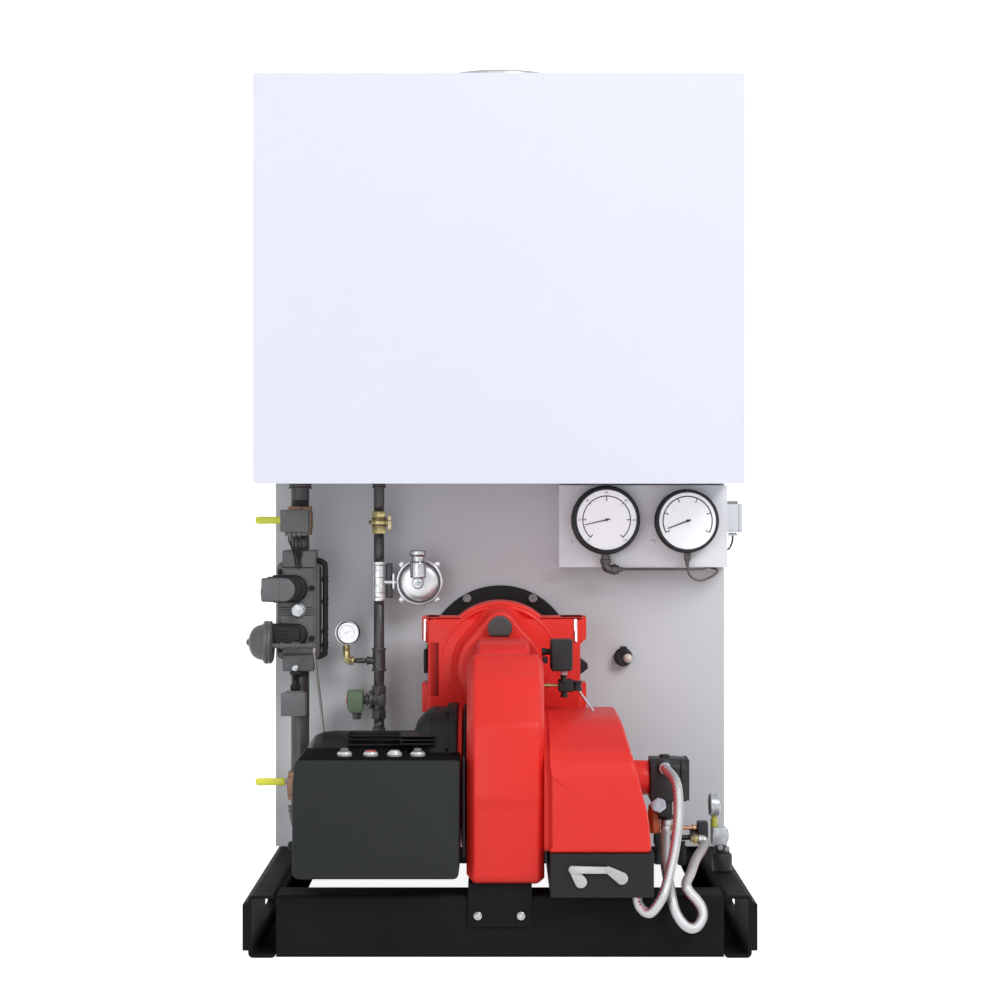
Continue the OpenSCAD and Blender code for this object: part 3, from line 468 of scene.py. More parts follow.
def dial_gauge(name, cx, cz, r, rim, back, deep, arc_r, arc_w, span, ticks, needle, needle_r,
               needle_w, numbers=()):
    """Case and bezel are turned profiles; the print is thin bands and bars on the dial."""
    face, front = back + deep - 6, back + deep
    case = eased([(0, 0), (0, r * 0.55), (6, r - 5), (10, r - 1), (18, r), (19, r - 1.2),
        (21, r - 1.2), (22, r), (deep - 12, r), (deep - 9, r - 2), (deep - 9, 0)], 1.2, 3, False)
    bezel = eased([(deep - 12, 0), (deep - 12, rim + 5.5), (deep - 2, rim + 5.5), (deep, rim + 4),
        (deep, rim + 2), (deep - 3, rim), (deep - 6.5, rim), (deep - 6.5, 0)], 1, 3, False)
    piece(name + "_case", gauge_black, [
        turned(case, (cx - 1.5, back, cz - 0.5), "d", 72), turned(bezel, (cx, back, cz), "d", 72)],
        name)
    piece(name + "_dial", dial_white, [
        turned([(0, 0), (0, rim - 0.4), (0.6, rim - 0.4), (0.6, 0)], (cx, face, cz), "d", 72)])
    ink = [slab(arc_band(cx, cz, -span, span, arc_r - arc_w, arc_r), "d", face, face + 0.9, 0.05,
        2)]
    for turn, inner, outer_r, wide in ticks:
        (u, v), (p, q) = on_dial(cx, cz, turn, inner), on_dial(cx, cz, turn, outer_r)
        side = np.array((q - v, u - p)) / math.hypot(p - u, q - v) * wide / 2
        bar = np.array([(u, v) - side, (p, q) - side, (p, q) + side, (u, v) + side])
        ink.append(slab(bar, "d", face, face + 0.9, 0.05, 2))
    ink += [numeral(text, *on_dial(cx, cz, turn, far), 6.2, face + 0.8)
        for text, turn, far in numbers]
    piece(name + "_print", dial_ink, ink)
    tip, tail = on_dial(cx, cz, needle, needle_r), on_dial(cx, cz, needle + 180, needle_r * 0.16)
    across = on_dial(0, 0, needle + 90, 1.0)
    arrow = np.array([tip - across * needle_w * 0.4, tail - across * needle_w * 0.6,
        tail + across * needle_w * 0.6, tip + across * needle_w * 0.4])
    hub = turned([(0, 0), (0, needle_w + 0.6), (1.6, needle_w + 0.3), (2, 1.2), (2.4, 0)],
        (cx, face + 1, cz), "d", 24)
    piece(name + "_needle", dial_ink, [slab(arrow, "d", face + 1.6, face + 2.6, 0.1, 2), hub])
    piece(name + "_glass", glass, [
        turned([(0, 0), (0, rim), (1.4, rim), (1.4, 0)], (cx, front - 2.2, cz), "d", 72)])


ticks_one = [(a, 43.2, 47.5, 1.6) for a in (-45, 45)] + [(0, 36.8, 48.5, 2)] + \
    [(a, 39.2, 48.2, 2) for a in (-90, 90)] + [(a, 40, 47.8, 2) for a in (-137, 137)]
numbers_one = [(str(n), a, 53.5) for n, a in ((0, -138), (20, -90), (40, -45), (60, 0), (80, 45),
    (100, 91), (120, 138))]
dial_gauge("temperature_gauge", 209.5, 766.2, 68, 59, 60, 40, 47.9, 2.2, 138, ticks_one, -103, 44,
    2.3, numbers_one)
ticks_two = [(a, 39.2, 48.5, 2) for a in np.linspace(-118, 118, 6)]
dial_gauge("pressure_gauge", 368.5, 764, 63, 56, 60, 40, 49.5, 2.5, 119, ticks_two, -110.8, 42,
    2.7)

# GAUGE TUBES
# The left gauge stands on a blackened elbow with a hexagon nut, and a thin stiff tube runs from it
# to the plate's edge. The right one has a bare capillary in a loose loop.
def oblong(u0, u1, v0, v1, corner, steps=5):
    """Rectangle with rounded corners."""
    return eased([(u0, v0), (u1, v0), (u1, v1), (u0, v1)], corner, steps)


def circle(u, v, r, turn):
    """Points round a centre, by their turn in radians from its right."""
    return np.stack([u + r * np.cos(turn), v + r * np.sin(turn)], -1)


def hexagon(across, u=0.0, v=0.0, lean=0.0):
    """Hexagon by its width across flats, with slightly rounded corners."""
    a = np.radians(np.arange(6) * 60.0 + 30.0 + lean)
    r = across / math.sqrt(3)
    return eased(circle(u, v, r, a), across * 0.06)


tube_grey = coated("tube_grey", (0.075, 0.07, 0.068), (0.11, 0.1, 0.095), 0.4, 0.1, 0.02,
    metal=0.5)
elbow = smooth([(208, 79, 697), (208, 79, 680), (210, 79, 672), (219, 79, 668), (234, 79, 668)], 6)
left_run = smooth([(230, 79, 668.5), (330, 79, 668.5), (378, 74, 668.5), (400, 62, 669),
    (409, 44, 670), (410, 26, 672)], 8)
right_run = smooth([(369, 79, 705), (369.5, 79, 680.7), (371, 79, 664), (377, 79, 653.5),
    (392, 79, 646.5), (408, 74, 649.5), (424, 70, 658), (430, 63, 665), (424, 52, 670.5),
    (412, 36, 673.5), (405, 26, 674)], 8)
piece("gauge_fittings", tube_grey, [
    tube(elbow, 8.8), slab(hexagon(21, 208, 79), "z", 680, 689),
    slab(oblong(201, 215, 72, 86, 2), "z", 688, 702), slab(hexagon(19, 79, 668), "x", 221, 229),
    turned([(0, 6.5), (8, 6), (8.5, 4.5), (14, 4)], (228, 79, 668), "x", 24),
    slab(oblong(362.5, 375.5, 72.5, 85.5, 2), "z", 686, 704),
    turned([(0, 3.5), (12, 4.5), (14, 4.5)], (369, 79, 674), "z", 20),
    tube(smooth([(424.5, 52.5, 670.3), (418, 44, 672.5), (411, 34.5, 673.7)], 4), 4, 14)],
    "gauge_tubes")
piece("gauge_capillaries", tube_grey, [tube(left_run, 2.5, 12), tube(right_run, 2.3, 12)])

# SENSOR BOX
# Small moulded housing of pale grey plastic screwed to the casing's right side, with a lid seam, a
# grey cap and a cable that goes into the casing below it.
def block(x0, x1, d0, d1, z0, z1, corner=3, ease=1.5, axis="d"):
    """Block whose corners are round about one axis and whose edges are eased at its two ends."""
    sides = [(x0, x1), (d0, d1), (z0, z1)]
    a0, a1 = sides.pop("xdz".index(axis))
    return slab(oblong(*sides[0], *sides[1], corner), axis, a0, a1, ease)


sensor_grey = coated("sensor_grey", (0.70, 0.72, 0.77), rough=0.5, depth=0.15)
sensor_cap = coated("sensor_cap", (0.28, 0.285, 0.3), rough=0.5)
box_side = 450  # the casing's right side
piece("sensor_housing", sensor_grey, [
    block(box_side, box_side + 30, -48, -8, 741, 797, 4, 1, "x"),
    block(box_side + 30.5, box_side + 38, -48.5, -7.5, 740, 797.5, 4, 2, "x"),
    turned([(0, 9), (4, 9), (6, 6)], (box_side + 20, -28, 733), "z", 24)], "side_sensor_box")
piece("sensor_cap", sensor_cap, [
    block(box_side + 3, box_side + 29, -44, -12, 797, 803, 3, 1, "z")])
piece("sensor_cable", gauge_black, [
    tube(smooth([(470, -28, 735), (469, -25, 722), (463, -8, 711), (457, 4, 706),
        (451.5, -4, 704.5), (449.5, -10, 704.5)], 6), 2, 10)])

# SIGHT PORT
# Black cast tube with a clamp ring, through which the flame is watched: a pale glass dome sits in
# its end.
def lathe(profile, start, axis="z", sides=48, ease=0.8):
    """Solid turned from a profile with eased corners, closed to the axis at both its ends."""
    line = [(profile[0][0], 0), *profile, (profile[-1][0], 0)]
    return turned(eased(line, ease, 3, False), start, axis, sides)


sight_black = coated("sight_black", (0.014, 0.013, 0.014), rough=0.42, grain=0.002, depth=0.4,
    gloss=0.25)
pale_glass = coated("pale_glass", (0.62, 0.57, 0.48), (0.78, 0.74, 0.66), 0.2, 0.05, 0.006,
    depth=0.05)
piece("sight_tube", sight_black, [
    lathe([(0, 18.5), (10, 18.5), (12, 16), (22, 16), (26, 14.5), (26, 10.5), (23.5, 10.5)],
        (247, 0, 490), "d", ease=1.2),
    block(240, 254, 6, 20, 500, 512, 3, 2)], "sight_port")
piece("sight_glass", pale_glass, [
    turned([(22, 9.5), (27, 9.3), (31.5, 7.5), (34.5, 4), (35.5, 0)], (255, 0, 489), "d", 32)])

# GAS PIPE
# Black threaded steel pipe with sockets, down the left side and under the motor to the burner. The
# thread's runout shows beside each fitting.
black_iron = coated("black_iron", (0.052, 0.052, 0.055), (0.085, 0.083, 0.086), 0.42, 0.14, 0.05,
    grain=0.003, depth=0.35, metal=0.35)


def thread(a, b, r, pitch=1.8):
    """Zigzag profile: the radius falls and rises once in a pitch."""
    n = max(int(round((b - a) / pitch)), 2)
    k = np.arange(2 * n + 1)
    return np.stack([a + (b - a) * k / (2 * n), r - 0.7 * (k % 2)], -1)


def pipe(a, b, r, start, axis="z", sides=48, run=12):
    """Plain pipe with a short thread at both ends."""
    return turned(np.vstack([[(a, 0)], thread(a, a + run, r), thread(b - run, b, r), [(b, 0)]]),
        start, axis, sides)


def coupling(a, b, r, start, axis="z", sides=48, bead=4):
    """Socket with a thicker bead at both ends."""
    return lathe([(a, r + 1), (a + bead, r + 1), (a + bead + 1, r - 0.5), (b - bead - 1, r - 0.5),
        (b - bead, r + 1), (b, r + 1)], start, axis, sides)


gx, gd = -391, 110  # the gas line's side and distance
elbow_low = smooth([(gx, gd, 200), (gx, gd, 186), (gx + 4, gd, 176), (gx + 14, gd, 172),
    (gx + 28, gd, 172)], 6)
elbow_rise = smooth([(-140, gd, 172), (-126, gd, 172), (-116, gd, 176), (-112, gd, 186),
    (-112, gd, 200)], 6)
piece("gas_pipe_run", black_iron, [
    pipe(793, 862, 18, (gx, gd, 0)), coupling(827, 838.7, 22.5, (gx, gd, 0), bead=2.5),
    pipe(704, 737, 18, (gx, gd, 0), run=8), pipe(275, 472, 18, (gx, gd, 0)),
    pipe(186, 219, 18, (gx, gd, 0)), tube(elbow_low, 21.5, 32),
    coupling(195.5, 207, 23.5, (gx, gd, 0)), coupling(gx + 24, gx + 36, 23.5, (0, gd, 172), "x"),
    pipe(gx + 26, -136, 18, (0, gd, 172), "x"), tube(elbow_rise, 21.5, 32),
    coupling(-148, -136, 23.5, (0, gd, 172), "x"), coupling(195.5, 207, 23.5, (-112, gd, 0)),
    pipe(196, 398, 18, (-112, gd, 0)), coupling(372, 397, 25, (-112, gd, 0))], "gas_pipe")

# GAS COCKS
# Cast bronze ball cocks: a round body between two hexagon ends, with the spindle neck on its back.
# The lever is a flat steel strip behind the body, under a dipped vinyl grip, held by a nut.
bronze = coated("cast_bronze", (0.28, 0.16, 0.102), (0.20, 0.123, 0.086), 0.45, 0.16, 0.02,
    grain=0.0022, depth=0.5, metal=0.6)
lever_grip = coated("lever_grip", (0.95, 0.98, 0.08), (0.90, 0.94, 0.075), 0.42, 0.06, 0.03,
    depth=0.1)
lever_steel = coated("lever_steel", (0.20, 0.20, 0.19), (0.14, 0.14, 0.13), 0.4, 0.1, 0.01,
    metal=0.8)


def gas_cock(name, z, lever_name):
    """The body, and behind it the lever's strip with its nut and the grip, pointing away."""
    body = eased([(-28, 0), (-28, 21), (-17, 22), (-14, 24.5), (14, 24.5), (17, 22), (28, 21),
        (28, 0)], 3, 4, False)
    piece(name + "_body", bronze, [
        turned(body, (gx, gd, z)), slab(hexagon(45.5, gx, gd), "z", z - 28, z - 16),
        slab(hexagon(45.5, gx, gd), "z", z + 16, z + 28),
        block(gx - 24.5, gx + 24, gd - 22, gd + 18, z - 18, z + 18, 4, 3),
        lathe([(63, 10), (67, 12), (90, 12)], (gx, 0, z), "d", ease=1)], name)
    piece(lever_name + "_strip", lever_steel, [
        slab(oblong(gx - 47, gx + 10, z - 5.5, z + 5.5, 5), "d", 54.7, 58.7, 0.5),
        lathe([(50, 5), (58.7, 5), (58.7, 11.5), (62.7, 11.5)], (gx, 0, z), "d", 32, ease=0.6),
        slab(hexagon(14.5, gx, z), "d", 50.5, 54.7, 0.8)], lever_name,
        body=lever_name.replace("handle", "lever"))
    v = np.array([34.5, 35.8, 42, 50, 66, 80, 88, 92, 93.4])
    thick = np.array([2.8, 4, 4.2, 3.8, 3.7, 3.9, 3.6, 2.8, 1.4])
    tall = np.array([6.2, 7.5, 7.7, 7.1, 7, 7.5, 7.2, 5.8, 3])
    a = np.linspace(0, 2 * np.pi, 32, endpoint=False)
    flat = np.abs(np.stack([np.cos(a), np.sin(a)])) ** 0.7 * np.sign([np.cos(a), np.sin(a)])
    ring = np.stack([np.broadcast_to(gx - v[:, None], (len(v), 32)),
        56.2 + thick[:, None] * flat[0], z + tall[:, None] * flat[1]], -1)
    piece(lever_name + "_grip", lever_grip, [
        grid_shell(ring)], body=lever_name.replace("handle", "lever"))


gas_cock("gas_cock_upper", 765, "upper_handle")
gas_cock("gas_cock_lower", 247, "lower_handle")

# GAS VALVE
# Die-cast double valve block between two flanged adapters, painted charcoal. On its front a cover
# plate with ribs and a bright hexagon plug; a guard frame loops along its right side.
valve_grey = coated("valve_grey", (0.105, 0.11, 0.114), (0.085, 0.09, 0.094), 0.46, 0.1, 0.06,
    grain=0.0018, depth=0.4)
valve_dark = coated("valve_dark", (0.014, 0.0145, 0.0155), rough=0.45, grain=0.0018, depth=0.3,
    gloss=0.2)
vx = gx + 3  # the valve's middle
loop = smooth([(-366, 104, 686.5), (-354, 104, 686.5), (-346, 104, 682), (-342.5, 104, 672),
    (-342, 104, 590), (-342.5, 104, 512), (-346, 104, 503), (-354, 104, 498.5),
    (-366, 104, 498.5)], 7)
piece("gas_valve_block", valve_grey, [
    block(gx - 32, gx + 33, gd - 28, gd + 28, 674, 707, 3, 2, "z"),
    block(gx - 32, gx + 29, gd - 28, gd + 28, 472, 504, 3, 2, "z"),
    block(vx - 47, vx + 36, gd - 42, gd + 14, 494, 684, 12, 4),
    block(gx - 42, gx + 33, gd + 10, gd + 22, 500, 680, 7, 2),
    block(gx - 36, gx + 28, gd + 18, gd + 26, 596, 673, 4, 1.5),
    block(gx - 36, gx + 28, gd + 18, gd + 26, 507, 580, 4, 1.5),
    *[block(x0, x1, gd + 18, gd + 26.5, z, z + 2.8, 1, 0.6)
        for x0, x1 in ((gx - 40, gx - 12), (gx + 10, gx + 31)) for z in (582.5, 587.5, 592.5)],
    lathe([(0, 16.5), (6, 16.5), (8, 15)], (gx, gd + 20, 591), "d", ease=1)], "gas_valve")
knob = lathe([(0, 5.2), (6, 5.2), (7, 3.4), (10, 3.4)], (0, gd + 24, 0), "d", 20)
clamps = [(0, 0, z) for z in (650, 606, 548, 520)]
piece("gas_valve_guard", valve_dark, [
    tube(loop, 5.4, 16), block(-356, -350, 92, 112, 512, 674, 3, 2),
    *many(coupling(-6, 6, 5.6, (-342, 104, 0), "z", 24, 2), clamps),
    *many(block(-352, -342, 101.5, 106.5, -3, 3, 1, 0.6), clamps),
    *many(knob, [(-365.5, 0, 634), (-365.5, 0, 536), (-428, 0, 666), (-428, 0, 514)])])
plated = coated("plated_steel", (0.46, 0.48, 0.50), (0.34, 0.36, 0.38), 0.38, 0.12, 0.012,
    grain=0.001, metal=0.7)
piece("gas_valve_plug", plated, [
    slab(hexagon(22.5, gx - 1, 591, 14), "d", gd + 30, gd + 44, 1.2),
    turned([(0, 0), (0, 13), (2.2, 13), (3, 11.8), (3, 0)], (gx - 1, gd + 28, 591), "d"),
    lathe([(0, 7.5), (6, 7.5), (9, 5)], (-397.5, gd + 28, 479), "d", 24, ease=1)])

# VALVE HEADS
# The actuator is a moulded cap over the coil: a black yoke runs round its right end. The pressure
# regulator below it lies on its side, a ribbed bell with its diaphragm rim, with a cross shaft.
def half_round(x0, x1, z0, z1, corner=4, n=17):
    """Outline with a half circle at its right end and small round corners at its left one."""
    r, zc = (z1 - z0) / 2, (z0 + z1) / 2
    a = np.linspace(-np.pi / 2, np.pi / 2, n)
    arc = circle(x1 - r, zc, r, a)
    left = eased([(x1 - r, z1), (x0, z1), (x0, z0), (x1 - r, z0)], [0.1, corner, corner, 0.1], 5)
    return np.vstack([arc[1:-1], left[5:-5]])


actuator_grey = coated("actuator_grey", (0.125, 0.128, 0.138), (0.11, 0.113, 0.12), 0.44, 0.06,
    0.05)
piece("actuator_yoke", valve_dark, [
    slab(half_round(gx - 50, gx + 18, 606, 660), "d", gd + 30.3, gd + 49, 6, 6),
    slab(half_round(gx - 60, gx + 8, 609, 657), "d", gd + 40, gd + 53, 3, 5)], "valve_actuator")
piece("actuator_cap", actuator_grey, [
    slab(half_round(gx - 62, gx - 4, 608, 655), "d", gd + 50, gd + 62, 4, 6),
    block(gx - 70, gx - 36, gd + 36, gd + 60.5, 608.5, 654.5, 4, 3),
    block(gx - 69.5, gx - 34, gd + 59, gd + 63.2, 610.5, 652.5, 3, 1.2),
    block(gx - 71.5, gx - 66, gd + 40, gd + 56, 618, 634, 2, 1)])
bell = eased([(0, 0), (0, 4.5), (2.2, 6.2), (4.5, 7.8), (6.2, 14), (9, 21), (13.5, 27.5),
    (21.5, 32.5), (32, 35.5), (33.5, 36.2), (34, 40.5), (37.5, 42), (41.5, 42), (42.5, 40.5),
    (44, 40.5), (45, 42), (48.5, 41.2), (52, 36.5), (53, 20), (53.5, 0)], 1.8, 4, False)
piece("regulator_bell", valve_grey, [
    turned(bell, (gx - 101, gd + 34, 529), "x", 72)], "gas_regulator")
piece("regulator_yoke", valve_dark, [
    slab(half_round(gx - 54, gx + 18, 520, 566), "d", gd + 30.3, gd + 47, 6, 6),
    slab(half_round(gx - 50, gx + 6, 526, 562), "d", gd + 40, gd + 52, 3, 5),
    *[block(gx - 46, gx - 18, gd + 50, gd + 53.5, z, z + 2.5, 1, 0.8) for z in (536, 543, 550)]])
piece("regulator_shaft", valve_grey, [
    lathe([(gx - 52, 5), (gx - 34, 5), (gx - 33, 6.6), (gx - 26, 6.6), (gx - 25, 4.8),
        (gx - 4, 4.8), (gx - 3, 6.2), (gx + 3, 6.2), (gx + 4, 4.6), (gx + 19, 4.6), (gx + 20, 6.6),
        (gx + 30, 6.6), (gx + 31, 4.2), (gx + 37, 4.2)], (0, gd + 58, 524), "x", 24, ease=0.6),
    block(gx - 12, gx + 4, gd + 44, gd + 57, 517, 531, 2, 1)])

# PRESSURE SWITCHES
# Two square grey housings on the gas line with moulded lids; the upper one hangs five thin wires,
# the lower one stands on a nipple from the valve.
switch_grey = coated("switch_grey", (0.135, 0.138, 0.148), (0.12, 0.123, 0.132), 0.46, 0.06, 0.04)
piece("switch_housings", switch_grey, [
    block(gx - 32, gx + 21, gd + 21.3, gd + 47, 743, 786, 2, 1),
    block(gx - 34, gx + 20, gd + 47.5, gd + 52, 743.5, 785.5, 1.5, 0.8),
    block(gx - 26, gx + 18, gd + 24, gd + 44, 736, 743.5, 2, 1),
    *many(block(-3, 3, gd + 40, gd + 48, 734.5, 743.5, 1, 0.6),
        [(-407, 0, 0), (-398, 0, 0), (-389, 0, 0)]),
    block(gx - 31, gx + 15, gd + 20, gd + 45, 388, 431, 2, 1),
    block(gx - 33, gx + 14, gd + 45.5, gd + 50, 387, 432.5, 1.5, 0.8),
    block(gx - 24, gx + 10, gd + 24, gd + 46, 431, 435, 2, 1),
    block(gx - 12, gx + 12, gd + 18.3, gd + 21, 395, 418, 2, 0.5)], "pressure_switches")
piece("switch_nipple", valve_dark, [
    turned(np.vstack([[(434, 0)], thread(434, 445, 7.5), [(445, 5.8), (455, 5.8)],
        thread(455, 471.6, 6.2), [(471.6, 0)]]), (gx - 7, gd + 26, 0), "z", 24),
    slab(hexagon(19, gx - 7, gd + 26), "z", 436, 446, 1),
    block(gx - 17, gx + 4, gd + 18, gd + 34, 465.5, 471.8, 2, 1)])
wire_black = coated("wire_black", (0.011, 0.011, 0.012), rough=0.5, gloss=0.3)
wires = [((-409, -404, -400, -398), 676), ((-405, -403, -396, -394.5), 684),
    ((-399, -398, -392.5, -392), 670), ((-392, -390, -389, -390), 680),
    ((-386, -384, -385.5, -388), 674)]
piece("switch_wires", wire_black, [
    tube(smooth([(x[0], gd + 44, 736), (x[0], gd + 46, 727), (x[1], gd + 42, 714),
        (x[2], gd + 34, 701), (x[3], gd + 31, low + 12), (x[3] + 2, gd + 30.5, low)], 5), 1.4, 8)
    for x, low in wires])

# IMPULSE TUBE
# Thin grey tube that carries the gas pressure from the valve down behind the control box to the
# burner's mouthpiece, with a small union nut at its start.
impulse_grey = coated("impulse_grey", (0.27, 0.265, 0.25), rough=0.34, metal=0.6)
piece("impulse_line", impulse_grey, [
    tube(smooth([(-358, gd + 58, 519), (-357, gd + 54, 500), (-350, gd + 36, 430),
        (-342, gd + 26, 355), (-330, gd + 20, 322), (-290, gd + 20, 316), (-200, gd + 30, 330),
        (-150, gd + 40, 322), (-130, gd + 42, 345), (-125, gd + 42, 375), (-125, gd + 42, 396.7)],
        8), 2.5, 12),
    turned([(510, 0), (510, 4.2), (517, 4.8), (520, 4.8), (521, 3), (521, 0)], (-358, gd + 58, 0),
        "z", 20)], "impulse_tube")

# PILOT PIPE
# Thin black gas pipe for the pilot flame, with a tee and a side nipple for the small gauge.
px, pd = -239, 70  # the pilot line's side and distance
bend_low = smooth([(px, pd, 356), (px, pd, 340), (px + 3, pd, 333), (px + 10, pd, 330),
    (px + 24, pd, 330)], 6)
bend_rise = smooth([(-124, pd, 330), (-110, pd, 330), (-103, pd, 333), (-100, pd, 340),
    (-100, pd, 356)], 6)
piece("pilot_pipe_run", black_iron, [
    *[pipe(a, b, 10.5, (px, pd, 0), "z", 32, 8) for a, b in ((783, 862), (683, 738), (438, 606),
        (348, 373))],
    coupling(829, 838.7, 13, (px, pd, 0), "z", 32, 2.2),
    coupling(467, 513, 13.2, (px, pd, 0), "z", 32),
    coupling(px - 24, px, 8, (0, pd, 488), "x", 24, 3),
    pipe(px - 50, px - 22, 5.2, (0, pd, 488), "x", 24, 6), tube(bend_low, 12.8, 24),
    pipe(px + 22, -122, 10.5, (0, pd, 330), "x", 32, 8), tube(bend_rise, 12.8, 24),
    pipe(354, 398, 10.5, (-100, pd, 0), "z", 32, 6)], "pilot_pipe")

# PILOT COCK
# Small brass cock with two hexagon union nuts and a raised collar between two darker bands, turned
# by a wing key on its right.
brass = coated("brass", (0.50, 0.43, 0.21), (0.40, 0.34, 0.16), 0.33, 0.12, 0.012, grain=0.001,
    depth=0.15, metal=0.85)
piece("pilot_cock_body", brass, [
    lathe([(749, 12.8), (756.2, 12.8), (757.2, 15.8), (764.7, 15.8), (765.7, 12.8), (773, 12.8)],
        (px, pd, 0)),
    slab(hexagon(26.2, px, pd), "z", 738.5, 751.5, 1.2),
    slab(hexagon(26.2, px, pd), "z", 771.2, 783, 1.2),
    lathe([(px + 10, 7.2), (px + 17, 7.2), (px + 17.2, 6.2), (px + 17.3, 6.2)], (0, pd, 761), "x",
        32, ease=0.6)], "pilot_cock")
piece("pilot_cock_bands", coated("band_brass", (0.17, 0.14, 0.06), rough=0.4, metal=0.6), [
    *[turned(eased([(a, 12), (a, 14.6), (a + 4.2, 14.6), (a + 4.2, 12)], 0.6, 3), (px, pd, 0), "z",
        40, True) for a in (752, 766.4)],
    turned([(px - 20.5, 0), (px - 20.5, 3.2), (px - 12, 3.6), (px - 12, 0)], (0, pd, 761), "x",
    20)])
x1 = px + 17.3
wing = np.linspace(0, 2 * np.pi, 72, endpoint=False)
wing_r = 6.2 + 10.7 * np.cos(wing) ** 8
piece("pilot_wing_key", coated("key_brass", (0.66, 0.60, 0.38), rough=0.4, metal=0.5), [
    slab(np.stack([pd + wing_r * np.sin(wing) * 0.8, 761 + wing_r * np.cos(wing)], -1), "x", x1,
        x1 + 7.5, 1),
    turned([(x1 + 6.5, 4.5), (x1 + 8.5, 4.2), (x1 + 9, 0)], (0, pd, 761), "x", 20)],
    "pilot_handle", body="pilot_key")

# PILOT REGULATOR
# Plated pressure regulator: a ribbed sleeve on the pipe, a through bolt to a round diaphragm case
# of two pressed dishes with four ears, and in front of it the spring cap over a slotted round
# knob.
chrome = coated("chrome", (0.80, 0.81, 0.82), (0.74, 0.75, 0.77), 0.13, 0.06, 0.03, grain=0.004,
    depth=0.04, metal=1.0)
dish_plate = coated("dish_plate", (0.66, 0.67, 0.69), (0.58, 0.59, 0.61), 0.3, 0.1, 0.03,
    grain=0.002, depth=0.06, metal=0.7)
gap_shade = coated("gap_shade", (0.05, 0.05, 0.055), rough=0.3, metal=0.5)
rx, rz = -159, 643  # the diaphragm case's middle
stem = eased([(652, 0), (652, 14.5), (654, 15.7), (680, 15.7), (683.3, 15), (684.5, 12.7),
    (694.5, 12.7), (695.5, 15), (699, 16.3), (704.5, 16.3), (706.5, 15), (707, 0)], 0.8, 3, False)
quarter = [math.radians(a) for a in (45, 135, 225, 315)]


def spun(shell, angle, cx, cz):
    """Turns a flat shell about a point of the face by an angle."""
    (u, v, w), faces = shell[0].T, shell[1]
    c, s = math.cos(angle), math.sin(angle)
    return np.stack([cx + u * c - w * s, v, cz + u * s + w * c], -1), faces


piece("pilot_regulator_body", dish_plate, [
    lathe([(606, 15.5), (612.5, 15.5), (614, 13.7), (622, 13.7), (623, 14.3), (636, 14.3),
        (637, 13.7), (652, 13.7), (653, 14.3), (666, 14.3), (667, 13.7), (676, 13.7),
        (677.5, 15.5), (683, 15.5)], (px, pd, 0)),
    turned([(px, 0), (px, 4.5), (px + 34.5, 4.5), (px + 34.5, 0)], (0, pd + 4, rz), "x", 24),
    block(px + 27, px + 31.2, pd - 4, pd + 12, 629, 661, 3, 1, "x"),
    turned(eased([(0, 0), (0, 34), (10, 34), (11, 44), (12.5, 45.8), (15.5, 46.2), (18.5, 45.8),
        (19.5, 43.5), (19.5, 42), (17.5, 41.2), (17.5, 37.8), (19.5, 37.2), (21.2, 36),
        (23.2, 32.5), (24.8, 27), (25.8, 20), (26.3, 12), (26.5, 0)], 0.8, 3, False),
        (rx, pd - 16, rz), "d", 96),
    *[spun(slab(oblong(40, 54.5, -5.3, 5.3, 4.5), "d", pd - 4.5, pd + 0.5, 0.8), a, rx, rz)
        for a in quarter],
    *[spun(turned([(0, 0), (0, 3.8), (2.2, 3.8), (2.8, 3), (2.8, 0)], (49.7, pd, 0), "d", 20), a,
        rx, rz) for a in quarter]], "pilot_regulator")
piece("pilot_regulator_cap", coated("cap_plate", (0.50, 0.51, 0.53), (0.41, 0.42, 0.44), 0.2, 0.08,
    0.02, grain=0.002, depth=0.05, metal=0.9), [
    turned(stem, (-161, pd + 25, 0), "z", 56),
    lathe([(0, 11.2), (28.5, 11.2), (30.5, 9.8), (34, 9.8), (34.5, 9)], (-161.2, pd + 9, 642.2),
        "d")])
# Painted shade: dark grooves on the case and the stem, two dark slots in the knob and a dark block
# in the gap between the sleeve and the case stand for the shade there.
piece("pilot_regulator_shade_marks", gap_shade, [
    block(px + 13.5, px + 26.5, pd - 22, pd - 4, 611, 680, 3, 1.5, "z"),
    turned(eased([(1.2, 37.5), (1.2, 41.8), (2.2, 41.8), (2.2, 37.5)], 0.2, 2), (rx, pd - 0.4, rz),
        "d", 96, True),
    *[turned(eased([(a, 12), (a, r), (b, r), (b, 12)], 0.2, 2), (-161, pd + 25, 0), "z", 56, True)
        for a, b, r in ((682.6, 683.8, 15.8), (696, 697.5, 15.9))],
    *[block(-168.5, -154, pd + 43, pd + 43.8, z, z + 1.2, 0.5, 0.2) for z in (638.5, 642.5)]])

# PILOT GAUGE
# Small pressure gauge with a plated case and a plain white dial, on a brass street elbow.
gx2, gz2 = -299, 544  # the gauge's middle
piece("pilot_gauge_case", gauge_black, [
    lathe([(0, 19), (4, 23.5), (20, 23.5), (22.5, 22.5), (22.5, 20.5), (19.5, 20)],
        (gx2, pd - 4, gz2), "d")], "pilot_gauge")
gx3 = gx2 - 2.5  # its face sits a little further left
piece("pilot_gauge_rim", dish_plate, [
    turned(eased([(17, 23), (17, 23.8), (22.2, 23.8), (23, 23.4), (23, 22.5), (20.5, 22.5),
        (20.5, 23)], 0.4, 3), (gx3, pd - 4, gz2), "d", 64, True)])
# The small dial takes the same faint glow of painted light.
piece("pilot_gauge_dial", dial_white, [
    turned([(0, 0), (0, 22.4), (0.8, 22.4), (0.8, 0)], (gx3, pd + 15.8, gz2), "d")])
small_arc = slab(arc_band(gx3, gz2, -130, 130, 14.8, 15.2, 32), "d", pd + 16.6, pd + 17.2, 0.04, 2)
small_needle = np.array([on_dial(gx3, gz2, 62, 14), on_dial(gx3, gz2, 235, 4),
    on_dial(gx3, gz2, 249, 4)])
